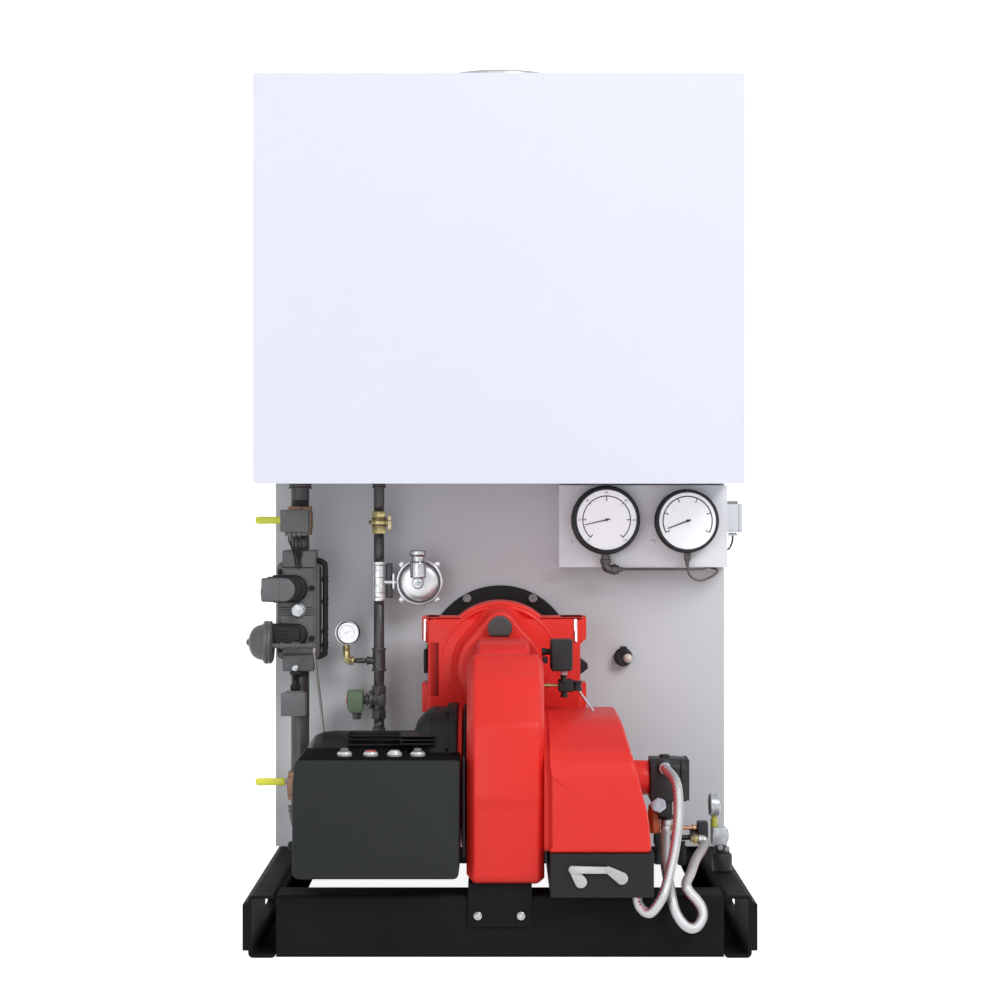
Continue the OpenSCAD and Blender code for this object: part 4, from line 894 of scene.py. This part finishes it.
piece("pilot_gauge_print", dial_ink, [small_arc, slab(small_needle, "d", pd + 17.2, pd + 17.8,
    0.04, 2)] + [slab(arc_band(gx3, gz2, a - 0.7, a + 0.7, 12.8, 15.2, 3), "d", pd + 16.6,
    pd + 17.2, 0.04, 2) for a in np.linspace(-130, 130, 7)])
piece("pilot_gauge_elbow", brass, [
    tube(smooth([(-303, 76, 522), (-303, 76, 512), (-303, 76, 503), (-302.2, 75.8, 495.5),
        (-298.5, 74.5, 489.5), (-294, 72.5, 488), (-289.5, 71.5, 488)], 8),
        np.interp(np.arange(49), [0, 10, 20, 48], [6, 6, 7.8, 7.8]), 28),
    slab(hexagon(14.5, -303, 76), "z", 508, 516, 0.8),
    coupling(-296.5, -289.3, 8.5, (0, 71.5, 488), "x", 24, 2)])

# PILOT SOLENOID
# Solenoid valve between two hexagon ends: a black bonnet of stacked rings carries the green
# moulded coil, which tapers below and has a red index lamp on its left.
coil_green = coated("coil_green", (0.115, 0.175, 0.105), (0.10, 0.155, 0.09), 0.42, 0.08, 0.02,
    depth=0.2)
red_lamp = coated("red_lamp", (0.62, 0.03, 0.025), rough=0.3, depth=0.05)
piece("pilot_solenoid_body", black_iron, [
    slab(hexagon(26.8, px, pd), "z", 420, 438, 1.2),
    slab(hexagon(26.8, px, pd), "z", 373, 391, 1.2),
    lathe([(388, 11), (398, 12.5), (414, 12.5), (424, 11)], (px, pd, 0), ease=1),
    block(px - 8, px + 13, pd - 12, pd + 13, 399, 423, 3, 2),
    lathe([(px - 34, 8.5), (px - 26.2, 8.5), (px - 25.8, 11.5), (px - 21.5, 11.5),
        (px - 21.2, 8.5), (px - 18.5, 8.5), (px - 18.2, 19), (px - 12.5, 19), (px - 12.2, 13),
        (px - 8.5, 13), (px - 8.2, 16.5), (px - 4.5, 16.5), (px - 4.2, 11), (px, 11)],
        (0, pd, 411), "x", ease=0.5),
    lathe([(372, 8.5), (380, 8.5), (381, 10.2), (388, 10.2)], (px - 44, pd, 0), "z", 32)],
    "pilot_solenoid")
coil = eased([(px - 62, 429.5), (px - 30.5, 429.5), (px - 30.5, 392), (px - 34, 386),
    (px - 56, 386), (px - 62, 396)], 1.6, 4)
piece("pilot_coil", coil_green, [
    slab(coil, "d", pd - 20, pd + 20, 1.6, 4),
    slab(coil * 0.9 + np.array((px - 46, 408)) * 0.1, "d", pd + 18, pd + 21.5, 1)])
piece("pilot_lamp", red_lamp, [block(px - 64.5, px - 61, pd - 6, pd + 6, 403, 415, 2, 1, "x")])

# BURNER FLANGE
# Black steel ring bolted to the boiler's furnace front with four socket screws. The mouthpiece
# passes through it.
burner_black = coated("burner_black", (0.012, 0.012, 0.012), (0.017, 0.016, 0.016), 0.5, 0.1, 0.08,
    grain=0.002, depth=0.3, gloss=0.15)
fz = 486  # height of the burner's axis
piece("burner_ring", burner_black, [
    turned(eased([(0, 75), (0, 147.8), (10.5, 148), (12, 146.5), (12, 75)], 1, 4), (0, 0, fz), "d",
        120, True)], "burner_flange")
socket_steel = coated("socket_steel", (0.27, 0.275, 0.285), (0.20, 0.205, 0.21), 0.42, 0.1, 0.01,
    metal=0.6)
screw_head = turned([(12, 0), (12, 8.6), (20.5, 8.6), (21.3, 7.6), (21.3, 4.6), (16.5, 4.2),
    (16.5, 0)], (0, 0, 0), "d", 28)
screw_at = [(139 * math.sin(a), 0, fz + 139 * math.cos(a))
    for a in map(math.radians, (-28.2, 28.2, 151.8, 208.2))]
piece("burner_ring_screws", socket_steel, many(screw_head, screw_at))

# BURNER MOUTHPIECE
# Iron casting enamelled red. Its head plate has an arched top, two lug bars with a hinge pin at
# each side and a long pocket; a round boss swells from it to the fan scroll, under a black plug.
burner_red = coated("burner_red", (0.80, 0.034, 0.026), (0.75, 0.029, 0.022), 0.4, 0.08, 0.25,
    grain=0.0022, depth=0.1, gloss=0.2, Coat_Weight=0.1, Coat_Roughness=0.15)
arch_top = on_dial(0, fz, np.linspace(-57, 57, 33), 124)
head_line = np.vstack([arch_top, eased([(118, 580), (160, 580), (160, 533), (153.5, 528),
    (153.5, 441), (158, 436), (158, 397), (-142, 397), (-142, 436), (-137.5, 441), (-137.5, 528),
    (-142, 533), (-142, 580), (-118, 580)], 1.5, 4, False)])
a, b = np.radians(np.linspace(48, -228, 60)), np.radians(np.linspace(150, 30, 14))
plug_z = 563.3
boss_line = eased(np.vstack([circle(0, fz, 84, a), circle(0, plug_z, 33, b)]), 12, 3)
piece("burner_mouthpiece", burner_red, [
    turned(eased([(12, 100), (12, 112), (20, 118), (100, 118), (100, 100)], 4, 4), (0, 0, fz), "d",
        96, True),
    slab(head_line, "d", 96, 190, 2, 4),
    lathe([(150, 120), (193.5, 119.5), (196.5, 116), (197, 112), (192, 109.5), (190, 104)],
        (0, 0, fz), "d", 96, ease=2),
    block(-138, 154, 186, 196, 400, 577, 10, 3), block(-150, 166, 112, 180, 536, 580, 1.5, 1.5),
    block(-150, 166, 112, 180, 397, 452, 1.5, 1.5),
    layered(boss_line, "d", [(188, -12), (196, -10), (200.5, -3), (207, 0), (233, 2), (237.5, 3.5),
        (239.5, 6), (240, 10), (240, 16)])], "burner_casing", sharp=50)
# The pocket is a thin flat plate, not a recess: its red darkens from mid red to dark red towards
# its right side, painted shade of the recess's right wall.
pocket_painted_shade, tree, shader = shader_for("pocket_painted_shade", 0.5, gloss=0.2)
painted_shade_share = put(tree, "MapRange", put(tree, "SeparateXYZ",
    put(tree, "TexCoord").outputs["Object"]).outputs[0], -0.134, -0.119).outputs[0]
tree.links.new(mixed(tree, painted_shade_share, (0.56, 0.022, 0.016, 1), (0.20, 0.006, 0.005, 1)),
    shader.inputs["Base Color"])
piece("burner_pocket_shade", pocket_painted_shade, [block(-134, -117.5, 195.5, 196.7, 429.5, 532.5, 4, 0.4)])
a = np.radians(np.linspace(-43, 223, 40))
plug_line = eased(circle(0, plug_z, 23, a), 1.5, 3)
piece("burner_plug", coated("plug_grey", (0.045, 0.046, 0.048), rough=0.5), [
    layered(plug_line, "d", [(238, 1), (258, 0), (261.2, 0.6), (262, 2), (262, 4)])])
pin = eased([(0, 0), (0, 2.8), (2, 3.4), (42, 3.4), (44, 2.8), (44, 0)], 0.4, 3, False)
piece("burner_hinge_pins", chrome, [
    turned(pin, (-143.8, 191, 533), "z", 24), turned(pin * (1, 1.25), (144.3, 196, 533), "z", 24)])
latch = eased([(153.5, 466), (153.5, 501), (170, 488), (170, 479)], 2, 4)
piece("burner_latch", valve_dark, [
    slab(latch, "d", 130, 160, 2), block(-147.5, -141, 130, 160, 470, 516, 3, 2)])

# FAN SCROLL
# Red spiral fan housing in two pressed halves. Seen from the side its outline is a spiral of broad
# flats with soft creases; across its width the section has rounded shoulders.
sx0, sx1 = -59, 78  # the scroll's left and right side
sd, sz = 350, 295  # distance and height of the fan's shaft


def spiral_place(turn, grow=0):
    """Radius grows evenly from straight below the shaft to straight above it."""
    a, r = np.radians(turn), 193 + 59 * np.asarray(turn) / 180 + grow
    return np.stack([sd + r * np.sin(a), sz - r * np.cos(a)], -1)


scroll_line = eased(np.vstack([spiral_place(np.linspace(-60, 28, 5), 2), [(469, 124.5),
    (473, 133.5), (566, 133.5), (573.5, 264)], spiral_place(np.array((88.2, 118.9, 141.2, 156.9)),
    np.array((6.7, 10.1, 9.6, 9.4))), [(392, 522), (196.5, 500), (196.5, 235)]]), [30, 50, 50, 50,
    50, 3, 4, 20, 4, 6, 9, 8, 12, 20, 2, 30], 7)
shoulders = [(sx0, 23.5), (sx0 + 1, 20.5), (sx0 + 10.5, 4.5), (sx0 + 12.5, 2.2), (sx0 + 15, 0.6),
    (sx0 + 18, 0), (sx1 - 14, 0), (sx1 - 11.2, 0.6), (sx1 - 9.2, 2), (sx1 - 7.6, 3.8),
    (sx1 - 0.8, 12), (sx1, 15)]
foot_share = np.clip((scroll_line[:, 1] - 115) / 30, 0.7, 1.0)
neck_line = eased([(196.5, 440), (196.5, 547), (392, 547), (437, 527), (437, 440)],
    [2, 2, 20, 20, 2], 5)
piece("scroll_housing", burner_red, [
    layered(scroll_line, "x", shoulders, foot_share),
    layered(neck_line, "x", [(-43, 10), (-41.5, 6), (-38, 2), (-33, 0), (45, 0), (50, 2),
        (53.5, 6), (55, 10)])], "fan_scroll", sharp=40)
piece("scroll_back_plate", burner_black, [
    lathe([(-65.5, 135), (-62, 135), (-62, 120), (-58, 118)], (0, sd, sz), "x", 96)])

# AIR INTAKE
# Red moulded shroud over the air damper. Its front hood slopes back in two creased flats, its
# right side is one long curve with a lip, and it stands beside the scroll on a narrower wall.
intake_line = np.vstack([eased([(87, 193), (263, 193), (262, 214), (258, 250), (255, 268),
    (246, 300), (234, 348), (224, 388), (218, 410), (212, 422), (203, 428)],
    [4, 9, 10, 10, 8, 12, 12, 12, 10, 6, 4], 5, False),
    [(x, 428) for x in np.linspace(195, 95, 9)], [(87, 428)],
    [(87, z) for z in np.linspace(415, 205, 12)]])
hood = np.array([(200, 362), (208, 386), (226, 405), (256, 414.5), (420, 414.5), (452, 411.5),
    (480, 405.5), (500, 399), (540, 383.5), (578, 365.5), (592, 350), (600, 326)])
depth = np.array([200, 204, 210, 220, 235, 256, 340, 420, 440, 452, 466, 480, 490, 500, 512, 530,
    550, 565, 574, 580, 585, 590.5, 593.5, 596.2, 598.3, 599.5, 600])
draw = np.interp(depth, [200, 204, 210, 590.5, 593.5, 596.2, 598.3, 599.5, 600],
    [6, 2, 0, 0, 0.6, 1.6, 3, 4.6, 6.6])
roof = np.interp(depth, hood[:, 0], hood[:, 1])


def shroud():
    """Front outline carried backwards; at each depth no point rises above the hood's line there,
    through a soft minimum, and near the front the outline draws in. The front closes by rings that
    shrink to its middle."""
    grid = layered(intake_line, "d",
        np.stack([depth, draw], -1))[0].reshape(len(depth), len(intake_line), 3)
    top, soft = (roof - draw * 0.3)[:, None], 4
    grid[..., 2] -= soft * np.logaddexp(0, (grid[..., 2] - top) / soft)
    middle = np.array((172, 600, 262))
    inner = [middle + (grid[-1] - middle) * k for k in (0.97, 0.88)]
    return grid_shell(np.concatenate([grid, inner]), (None, middle))


wall_line = eased([(206, 193), (582, 193), (582, 330), (560, 362), (480, 402), (420, 412.5),
    (250, 412.5), (206, 366)], 14, 6)

piece("intake_shroud", burner_red, [
    shroud(), slab(wall_line, "x", sx1 - 1, 90, 2),
    lathe([(236, 32.5), (273.5, 31.8), (275, 30)], (0, sd, 293), "x", 56, 1.5)], "air_intake",
    sharp=45)

# INTAKE BASE
# Folded charcoal sheet box, open below, through which the air is drawn. On its front two cast
# levers and a rod set the damper.
base_grey = coated("base_grey", (0.024, 0.025, 0.026), rough=0.5, depth=0.25, gloss=0.12)
link_grey = coated("link_grey", (0.50, 0.505, 0.51), (0.42, 0.425, 0.43), 0.42, 0.1, 0.02,
    grain=0.002, depth=0.4, metal=0.35)
piece("intake_box", base_grey, [
    layered(oblong(87, 267, 180, 600, 5), "z", [(189, 4), (118, 4), (117, 3.5), (117, 0.8),
        (117.8, 0), (192.2, 0), (193, 0.8)])], "intake_base")


def link(a, b, ra, rb, d0, d1):
    """Outline round two circles, joined by their outer tangents."""
    a, b = np.array(a), np.array(b)
    v = b - a
    far, way = np.linalg.norm(v), math.atan2(v[1], v[0])
    open_by = math.acos((ra - rb) / far)
    s = np.linspace(way + open_by, way + 2 * np.pi - open_by, 20)
    t = np.linspace(way - open_by, way + open_by, 20)
    return slab(np.vstack([circle(*a, ra, s), circle(*b, rb, t)]), "d", d0, d1, 1, 3)


joint_a, joint_b, arm_a, arm_b = (125, 167), (187, 166), (140, 145), (211, 151)
pins = many(turned([(0, 0), (0, 4.2), (1.2, 4.2), (1.8, 3), (1.8, 0)], (0, 610.2, 0), "d", 20),
    [(125, 0, 167), (187, 0, 166)])
piece("damper_levers", link_grey, [
    link(joint_a, arm_a, 6.2, 10.6, 600, 606), link(joint_b, arm_b, 6.2, 10.6, 600, 606),
    link(joint_a, joint_b, 6.6, 5.8, 606, 610.5), *pins], "damper_linkage")

# FAN MOTOR
# Black electric motor with cooling ribs along it and a domed fan cowl; a bell-shaped adapter with
# a screwed flange joins it to the scroll over a narrow red ring.
motor_black = coated("motor_black", (0.009, 0.009, 0.010), (0.013, 0.013, 0.014), 0.42, 0.1, 0.05,
    grain=0.0025, depth=0.3, gloss=0.2)
cowl = eased([(-358, 0), (-358, 40), (-352, 61.5), (-341, 75.5), (-325, 82.5), (-300, 84.5),
    (-277, 84.5), (-275, 80), (-270, 76), (-166, 76), (-162, 78.5), (-157, 87), (-152, 103),
    (-140, 117), (-130, 125), (-122, 129.5), (-95, 130), (-93.5, 131), (-92.5, 136.5), (-78, 137),
    (-77, 135.5), (-77, 0)], [3] * 15 + [4, 4, 0.8, 0.8, 0.8, 0.8, 0.1], 4, False)
rib_a = np.linspace(0, 2 * np.pi, 36, endpoint=False)
rib = block(-276.5, -153.5, -1.4, 1.4, 70, 84.5, 1, 0.7)


def ribs():
    """One rib, turned to each of the places round the motor's axis."""
    (u, v, w), faces = rib[0].T, rib[1]
    c, s = np.cos(rib_a)[:, None], np.sin(rib_a)[:, None]
    copies = np.broadcast_arrays(u[None], sd + v * c - w * s, sz + v * s + w * c)
    return repeated(np.stack(copies, -1), faces)


piece("motor_body", motor_black, [
    turned(cowl, (0, sd, sz), "x", 96), ribs(),
    *many(block(-180, -116.5, 400, 466, 0, 3, 2, 0.8, "z"), [(0, 0, z) for z in (366, 373, 380)]),
    *many(turned([(-92.5, 0), (-92.5, 5.2), (-96.5, 5.2), (-97.5, 4.4), (-97.5, 0)], (0, sd, sz),
        "x", 16), [(0, 133.5 * math.sin(a), 133.5 * math.cos(a))
        for a in map(math.radians, (-60, -20, 20, 60))])], "fan_motor")
piece("motor_red_ring", burner_red, [
    lathe([(-77.5, 127), (-76.5, 128.5), (-69, 128.5), (-68, 127)], (0, sd, sz), "x", 96)])

# CONTROL BOX
# Charcoal moulded cover over the burner's controls, open at its back where it fits round the
# motor. Its corners are round, its left side slants a little, and a thin plate closes it at the
# scroll.
box_plastic = coated("box_plastic", (0.026, 0.029, 0.030), (0.029, 0.032, 0.033), 0.55, 0.06, 0.12,
    grain=0.0011, depth=0.3, gloss=0.1)
corner = eased([(-360.5, 148), (-71.5, 148), (-70.5, 354), (-354.5, 354), (-360, 317)],
    [14, 12, 8, 5, 16], 8)
cover_line = np.vstack([corner[:8], [(-168.5, 148), (-167.5, 148)], corner[8:16],
    [(-71.5 + (z - 170) / 170, z) for z in np.linspace(170, 340, 12)], corner[16:24],
    [(-167.5, 354), (-168.5, 354)], corner[24:]])


def cover_shell():
    """Outline carried from the front to the open back; right of the step the back edge follows a
    circle round the motor's adapter."""
    points, faces = layered(cover_line, "d", [(594, 4), (412.5, 4), (411, 3.5), (411, 0.6),
        (411.6, 0), (595.5, 0), (597.5, 0.5), (599, 1.7), (600, 3.6)])
    arc = sd + np.sqrt(np.maximum(139.5 ** 2 - (points[:, 2] - sz) ** 2, 0))
    cut = (points[:, 0] > -168) & (points[:, 1] < 460)
    points[cut, 1] = np.maximum(points[cut, 1], arc[cut] + points[cut, 1] - 411)
    return points, faces


piece("control_cover", box_plastic, [
    cover_shell(),
    lathe([(-369, 6), (-366.5, 7.5), (-362.5, 8.5), (-358.5, 8.5)], (0, 575, 203), "x", 24)],
    "control_box")
# A thin near-black sheet lies over the box's top: painted shade, which makes the top read darker
# than the box's sides.
top_shade_line = eased([(-351.5, 414.5), (-171.5, 414.5), (-171.5, 480.5), (-70.5, 480.5),
    (-70.5, 593.5), (-351.5, 593.5)], 3, 4)
piece("control_top_shade", coated("top_shade_black", (0.0065, 0.0065, 0.007), rough=0.75, gloss=0.02), [
    slab(top_shade_line, "z", 353.5, 354.7, 0.6, 3)])
piece("control_side_plate", motor_black, [block(-65.8, -61.3, 491.5, 560, 178, 354, 6, 0.8, "x")])

# CONTROL BUTTONS
# Four bright turned push buttons on the box's top: the first and the last have grey knobs, the
# second a reddish lens.
knob_grey = coated("knob_grey", (0.17, 0.17, 0.18), rough=0.4)
lens_red = coated("lens_red", (0.55, 0.10, 0.10), rough=0.25, depth=0.05)
bezel_white = coated("bezel_white", (0.66, 0.66, 0.68), (0.6, 0.6, 0.62), 0.25, 0.05, 0.01,
    metal=0.3)
bezel = lathe([(0.4, 13), (5, 13.4), (6.2, 11.8), (8, 11.2), (8.4, 8.5)], (0, 533, 354), "z", 40,
    ease=0.6)
places = np.array([(-274, 0, 0), (-228, 0, 0), (-186, 0, 0), (-145, 0, 0)])
piece("control_button_bezels", bezel_white, many(bezel, places), "control_buttons")
cap = lathe([(8, 7.4), (12.6, 7.2), (14, 6)], (0, 533, 354), "z", 32, ease=0.6)
low_cap = turned(eased([(8, 0), (8, 9.6), (9.8, 9.2), (10.6, 8), (10.8, 0)], 0.5, 3, False),
    (0, 533, 354), "z", 32)
piece("control_button_knobs", knob_grey, many(cap, places[[0, 3]]))
piece("control_button_lens", lens_red, many(low_cap, places[[1]]))
piece("control_button_clear", bezel_white, many(low_cap, places[[2]]))

# SERVOMOTOR
# Small black damper drive on the scroll's right side, with a shaft, a plug with a white collar,
# blackened fittings and a brass rod; a thin steel tube leads down behind the shroud.
servo_black = coated("servo_black", (0.018, 0.019, 0.021), rough=0.42, depth=0.2, gloss=0.25)
plug_white = coated("plug_white", (0.62, 0.50, 0.52), rough=0.4)
piece("servo_housing", servo_black, [
    block(93, 134, 300, 358, 492, 547, 4, 2), block(95, 132, 356, 362, 490, 545, 4, 2),
    lathe([(77.5, 7.5), (83, 7.5), (84, 5.8), (94, 5.8)], (0, 331, 524), "x", 28, ease=0.6),
    block(70 + 8.5, 88, 322, 342, 503, 515, 2, 1), block(108, 136, 312, 345, 450, 473, 4, 2),
    coupling(452, 470, 8.5, (143, 330, 0), "z", 24),
    coupling(470, 482.5, 5.8, (117.5, 345, 0), "z", 24, 3),
    coupling(440, 456, 6.5, (119, 335, 0), "z", 24, 3)], "servomotor")
piece("servo_plug", plug_white, [
    lathe([(481.5, 6.2), (483.5, 7), (489.5, 7), (491, 6)], (117.5, 345, 0), "z", 28, ease=0.6)])
piece("servo_rod", brass, [
    turned([(78.5, 0), (78.5, 3), (86, 3), (86.5, 4.5), (92, 4.5), (92.5, 3), (109, 3), (109, 0)],
        (0, 331, 461.5), "x", 20)])
piece("servo_tube", plated, [
    tube(smooth([(137, 330, 460), (146.5, 330, 451.5), (156, 330, 438), (173.5, 330, 413.2)], 6),
        2.4, 14)])

# OIL PUMP
# Gear pump with a black cast body flanged to the fan shaft, end cover with a row of screws, hose
# unions and a bright hexagon plug; a fitting of orange-brown plastic stands beside it.
pump_black = coated("pump_black", (0.032, 0.034, 0.036), (0.024, 0.026, 0.028), 0.46, 0.1, 0.03,
    grain=0.0022, depth=0.4, gloss=0.25)
pump_line = eased([(312, 253), (388, 253), (388, 318), (376, 331), (326, 331), (312, 318)], 4, 4)
piece("pump_body", pump_black, [
    slab(pump_line, "x", 275.3, 330, 2), slab(pump_line * 0.985 + (5, 4), "x", 330.5, 341.5, 1.5),
    *many(block(340.5, 347, 0, 6, 254.5, 329.5, 2, 1, "x"), [(0, d, 0)
        for d in (316, 328, 340, 352, 364, 376)]),
    lathe([(385, 15), (389, 15), (390, 11.2), (395.5, 11.2)], (301, 0, 316), "d", 36),
    lathe([(325, 9.8), (334.5, 9.8), (336, 8)], (303.5, 350, 0), "z", 28),
    block(291.5, 316, 330, 380, 224.5, 256, 4, 2), slab(hexagon(27, 306, 356), "z", 217.8, 225),
    lathe([(275.3, 33), (281, 33), (282, 30)], (0, sd, 293), "x", ease=1),
    *many(turned([(388, 0), (388, 4.2), (391, 4.2), (392, 3.4), (392, 0)], (0, 0, 0), "d", 16),
        [(x, 0, z) for x in (322, 334) for z in (262, 279, 296, 313)])], "oil_pump")
plug_steel = coated("plug_steel", (0.46, 0.50, 0.58), (0.36, 0.39, 0.46), 0.33, 0.1, 0.012,
    metal=0.9)
piece("pump_plug", plug_steel, [
    slab(hexagon(25.5, 290, 247.5, 8), "d", 383.5, 391.5, 1.2),
    turned([(379, 0), (379, 13.8), (383.5, 13.8), (383.5, 0)], (290, 0, 247.5), "d"),
    coupling(396, 404.5, 9.8, (301, 0, 316), "d", 28, 2)])
orange_cap = coated("orange_cap", (0.55, 0.105, 0.022), (0.46, 0.08, 0.018), 0.4, 0.08, 0.01)
piece("pump_orange_fitting", orange_cap, [
    slab(hexagon(22.5, 284, 352, 8), "z", 200.5, 233, 1.2),
    lathe([(191.5, 9.8), (193.5, 11.2), (201, 11.2)], (284, 352, 0), "z", 36),
    lathe([(232, 10.5), (242, 10), (243.5, 8.5)], (284, 352, 0), "z", 36)])

# OIL FILTER
# Filter group on the right rail: black bowl under a bright head, a copper tube and a black pipe
# from the pump, a brass union for the hose and a plated gauge turned sideways on a yellow collar.
fx, fd = 416, 290  # the filter's side and distance
copper = coated("copper_tube", (0.52, 0.29, 0.19), (0.45, 0.24, 0.16), 0.24, 0.1, 0.02, depth=0.1,
    metal=1.0)
collar_yellow = coated("collar_yellow", (0.46, 0.47, 0.06), rough=0.4)
piece("filter_bowl", pump_black, [
    turned(eased([(110, 0), (110, 16.5), (112, 18.5), (136, 19), (142, 18.5), (146, 14.5),
        (146, 0)], 1.5, 4, False), (fx, fd, 0)),
    slab(hexagon(27, fx, fd), "z", 145.5, 156),
    block(fx - 47, fx - 27, fd - 11, fd + 11, 163, 204, 3, 2),
    coupling(fx - 60, fx - 44, 10.5, (0, fd, 176), "x", 28, 3),
    pipe(298.5, fx - 56, 5, (0, fd, 173), "x", 24, 6),
    block(288, 301, fd - 10, fd + 10, 160, 184, 3, 2),
    coupling(123, 160, 5.6, (296, fd, 0), "z", 24),
    slab(hexagon(15.5, 341, fd), "z", 121.5, 158.5, 1.2),
    coupling(150, 166, 6, (341, fd, 0), "z", 24, 3)], "oil_filter")
piece("filter_head", plated, [
    block(fx - 20.5, fx + 9, fd - 16, fd + 16, 159, 194, 5, 3),
    lathe([(fx + 5, 12.5), (fx + 10, 12.5), (fx + 12, 10)], (0, fd, 177), "x", 32)])
piece("filter_screws", socket_steel, [
    slab(hexagon(9.5, fx - 5, 156), "d", fd + 4, fd + 18, 1),
    slab(hexagon(9.5, fx + 7.5, 152.5), "d", fd + 2, fd + 16, 1)])
piece("filter_gauge_case", plated, [
    lathe([(fx - 23.5, 20), (fx - 22.5, 21.2), (fx - 19, 21.2), (fx - 17.5, 20.3),
        (fx - 6.5, 20.3), (fx - 4.5, 18.5), (fx - 3.7, 15)], (0, fd, 234.5), "x", 56)])
piece("filter_gauge_glass", dial_ink, [
    turned([(fx - 24.2, 0), (fx - 24.2, 18.8), (fx - 23.3, 18.8), (fx - 23.3, 0)], (0, fd, 234.5),
        "x", 48)])
piece("filter_gauge_collar", collar_yellow, [
    lathe([(193, 6.6), (208, 6.6), (210, 5), (214.5, 4.5)], (fx - 14.8, fd, 0), "z", 28)])
piece("filter_copper_tube", copper, [
    tube([(298.5, fd, 191), (315, fd, 191), (345, fd, 191), (372, fd, 191)], 4.5, 20),
    coupling(360, 371, 6.2, (0, fd, 191), "x", 24, 2)])
piece("filter_brass_union", brass, [
    lathe([(fd, 6.5), (fd + 27, 6.8), (fd + 29, 5.5)], (361, 0, 173), "d", 28),
    slab(hexagon(16.5, fd + 22, 173), "x", 360, 369.2, 1)])
piece("hose_sleeves", zinc, [
    lathe([(206, 9.8), (208, 10.2), (215.5, 10.2), (217.5, 9.4)], (306, 356, 0), "z", 28,
    ease=0.6)])

# STUDIO
# White floor curving up into a backdrop, one wide soft lamp high at the right, a weaker one at the
# left and a plain sky. The floor shows nearly white to the camera and keeps the shadow.
def backdrop():
    """Profile carried along X: flat floor, quarter circle, upright wall behind the object."""
    near, wall, height, half_width, bend = -9.0, 8.0, 9.0, 12.0, 3.0
    a = np.linspace(0, np.pi / 2, 13)
    y = np.r_[near, wall - bend + bend * np.sin(a), wall]
    z = np.r_[0.0, bend - bend * np.cos(a), height]
    x = np.linspace(-half_width, half_width, 7)
    grid = np.stack(np.broadcast_arrays(x[None], y[:, None], z[:, None]), -1)
    i, j = np.meshgrid(np.arange(len(y) - 1), np.arange(len(x) - 1), indexing="ij")
    n = len(x)
    faces = np.stack([i * n + j, i * n + j + 1, (i + 1) * n + j + 1, (i + 1) * n + j], -1)
    return meshed("backdrop", grid.reshape(-1, 3), faces.reshape(-1, 4).tolist())


def seen(tree):
    """1 for what the camera, a mirror or a glass sees, 0 for light that falls on the object."""
    path = put(tree, "LightPath").outputs
    return sums(tree, "MAXIMUM", path["Is Camera Ray"], sums(tree, "MAXIMUM",
        path["Is Glossy Ray"], path["Is Transmission Ray"]))


floor_mat, tree, shader = shader_for("studio_floor", 0.9)
shader.inputs["Base Color"].default_value = (0.8, 0.8, 0.8, 1)
shader.inputs["Emission Color"].default_value = (1, 1, 1, 1)
tree.links.new(sums(tree, "MULTIPLY", seen(tree), 0.92), shader.inputs["Emission Strength"])
floor = backdrop()
floor.data.materials.append(floor_mat)

world = bpy.data.worlds.new("studio_sky")
scene.world = world
world.use_nodes = True
sky = world.node_tree
sky.nodes.clear()
sky_light = 0.39
level = sums(sky, "MULTIPLY_ADD", seen(sky), 1.0 - sky_light, sky_light)
back = put(sky, "Background", (1.0, 1.0, 1.0, 1.0), level)
out = sky.nodes.new("ShaderNodeOutputWorld")
sky.links.new(back.outputs[0], out.inputs[0])


def lamp(name, place, target, size, power, colour=(1, 1, 1)):
    """Square area lamp that looks at a point."""
    light = bpy.data.lights.new(name, "AREA")
    light.shape, light.size, light.energy, light.color = "SQUARE", size, power, colour
    made = bpy.data.objects.new(name, light)
    made.location = place
    turn = np.subtract(target, place)
    across = math.hypot(turn[0], turn[1])
    made.rotation_euler = (math.atan2(across, -turn[2]), 0, math.atan2(-turn[0], turn[1]))
    scene.collection.objects.link(made)


lamp("key_lamp", (3.66, -6.23, 5.16), (0.0, -0.6, 0.8), 3.4, 335.0)
lamp("fill_lamp", (-1.8, -5.4, 1.3), (0.0, -0.6, 0.9), 2.6, 42.0)
scene.view_settings.view_transform = "Standard"
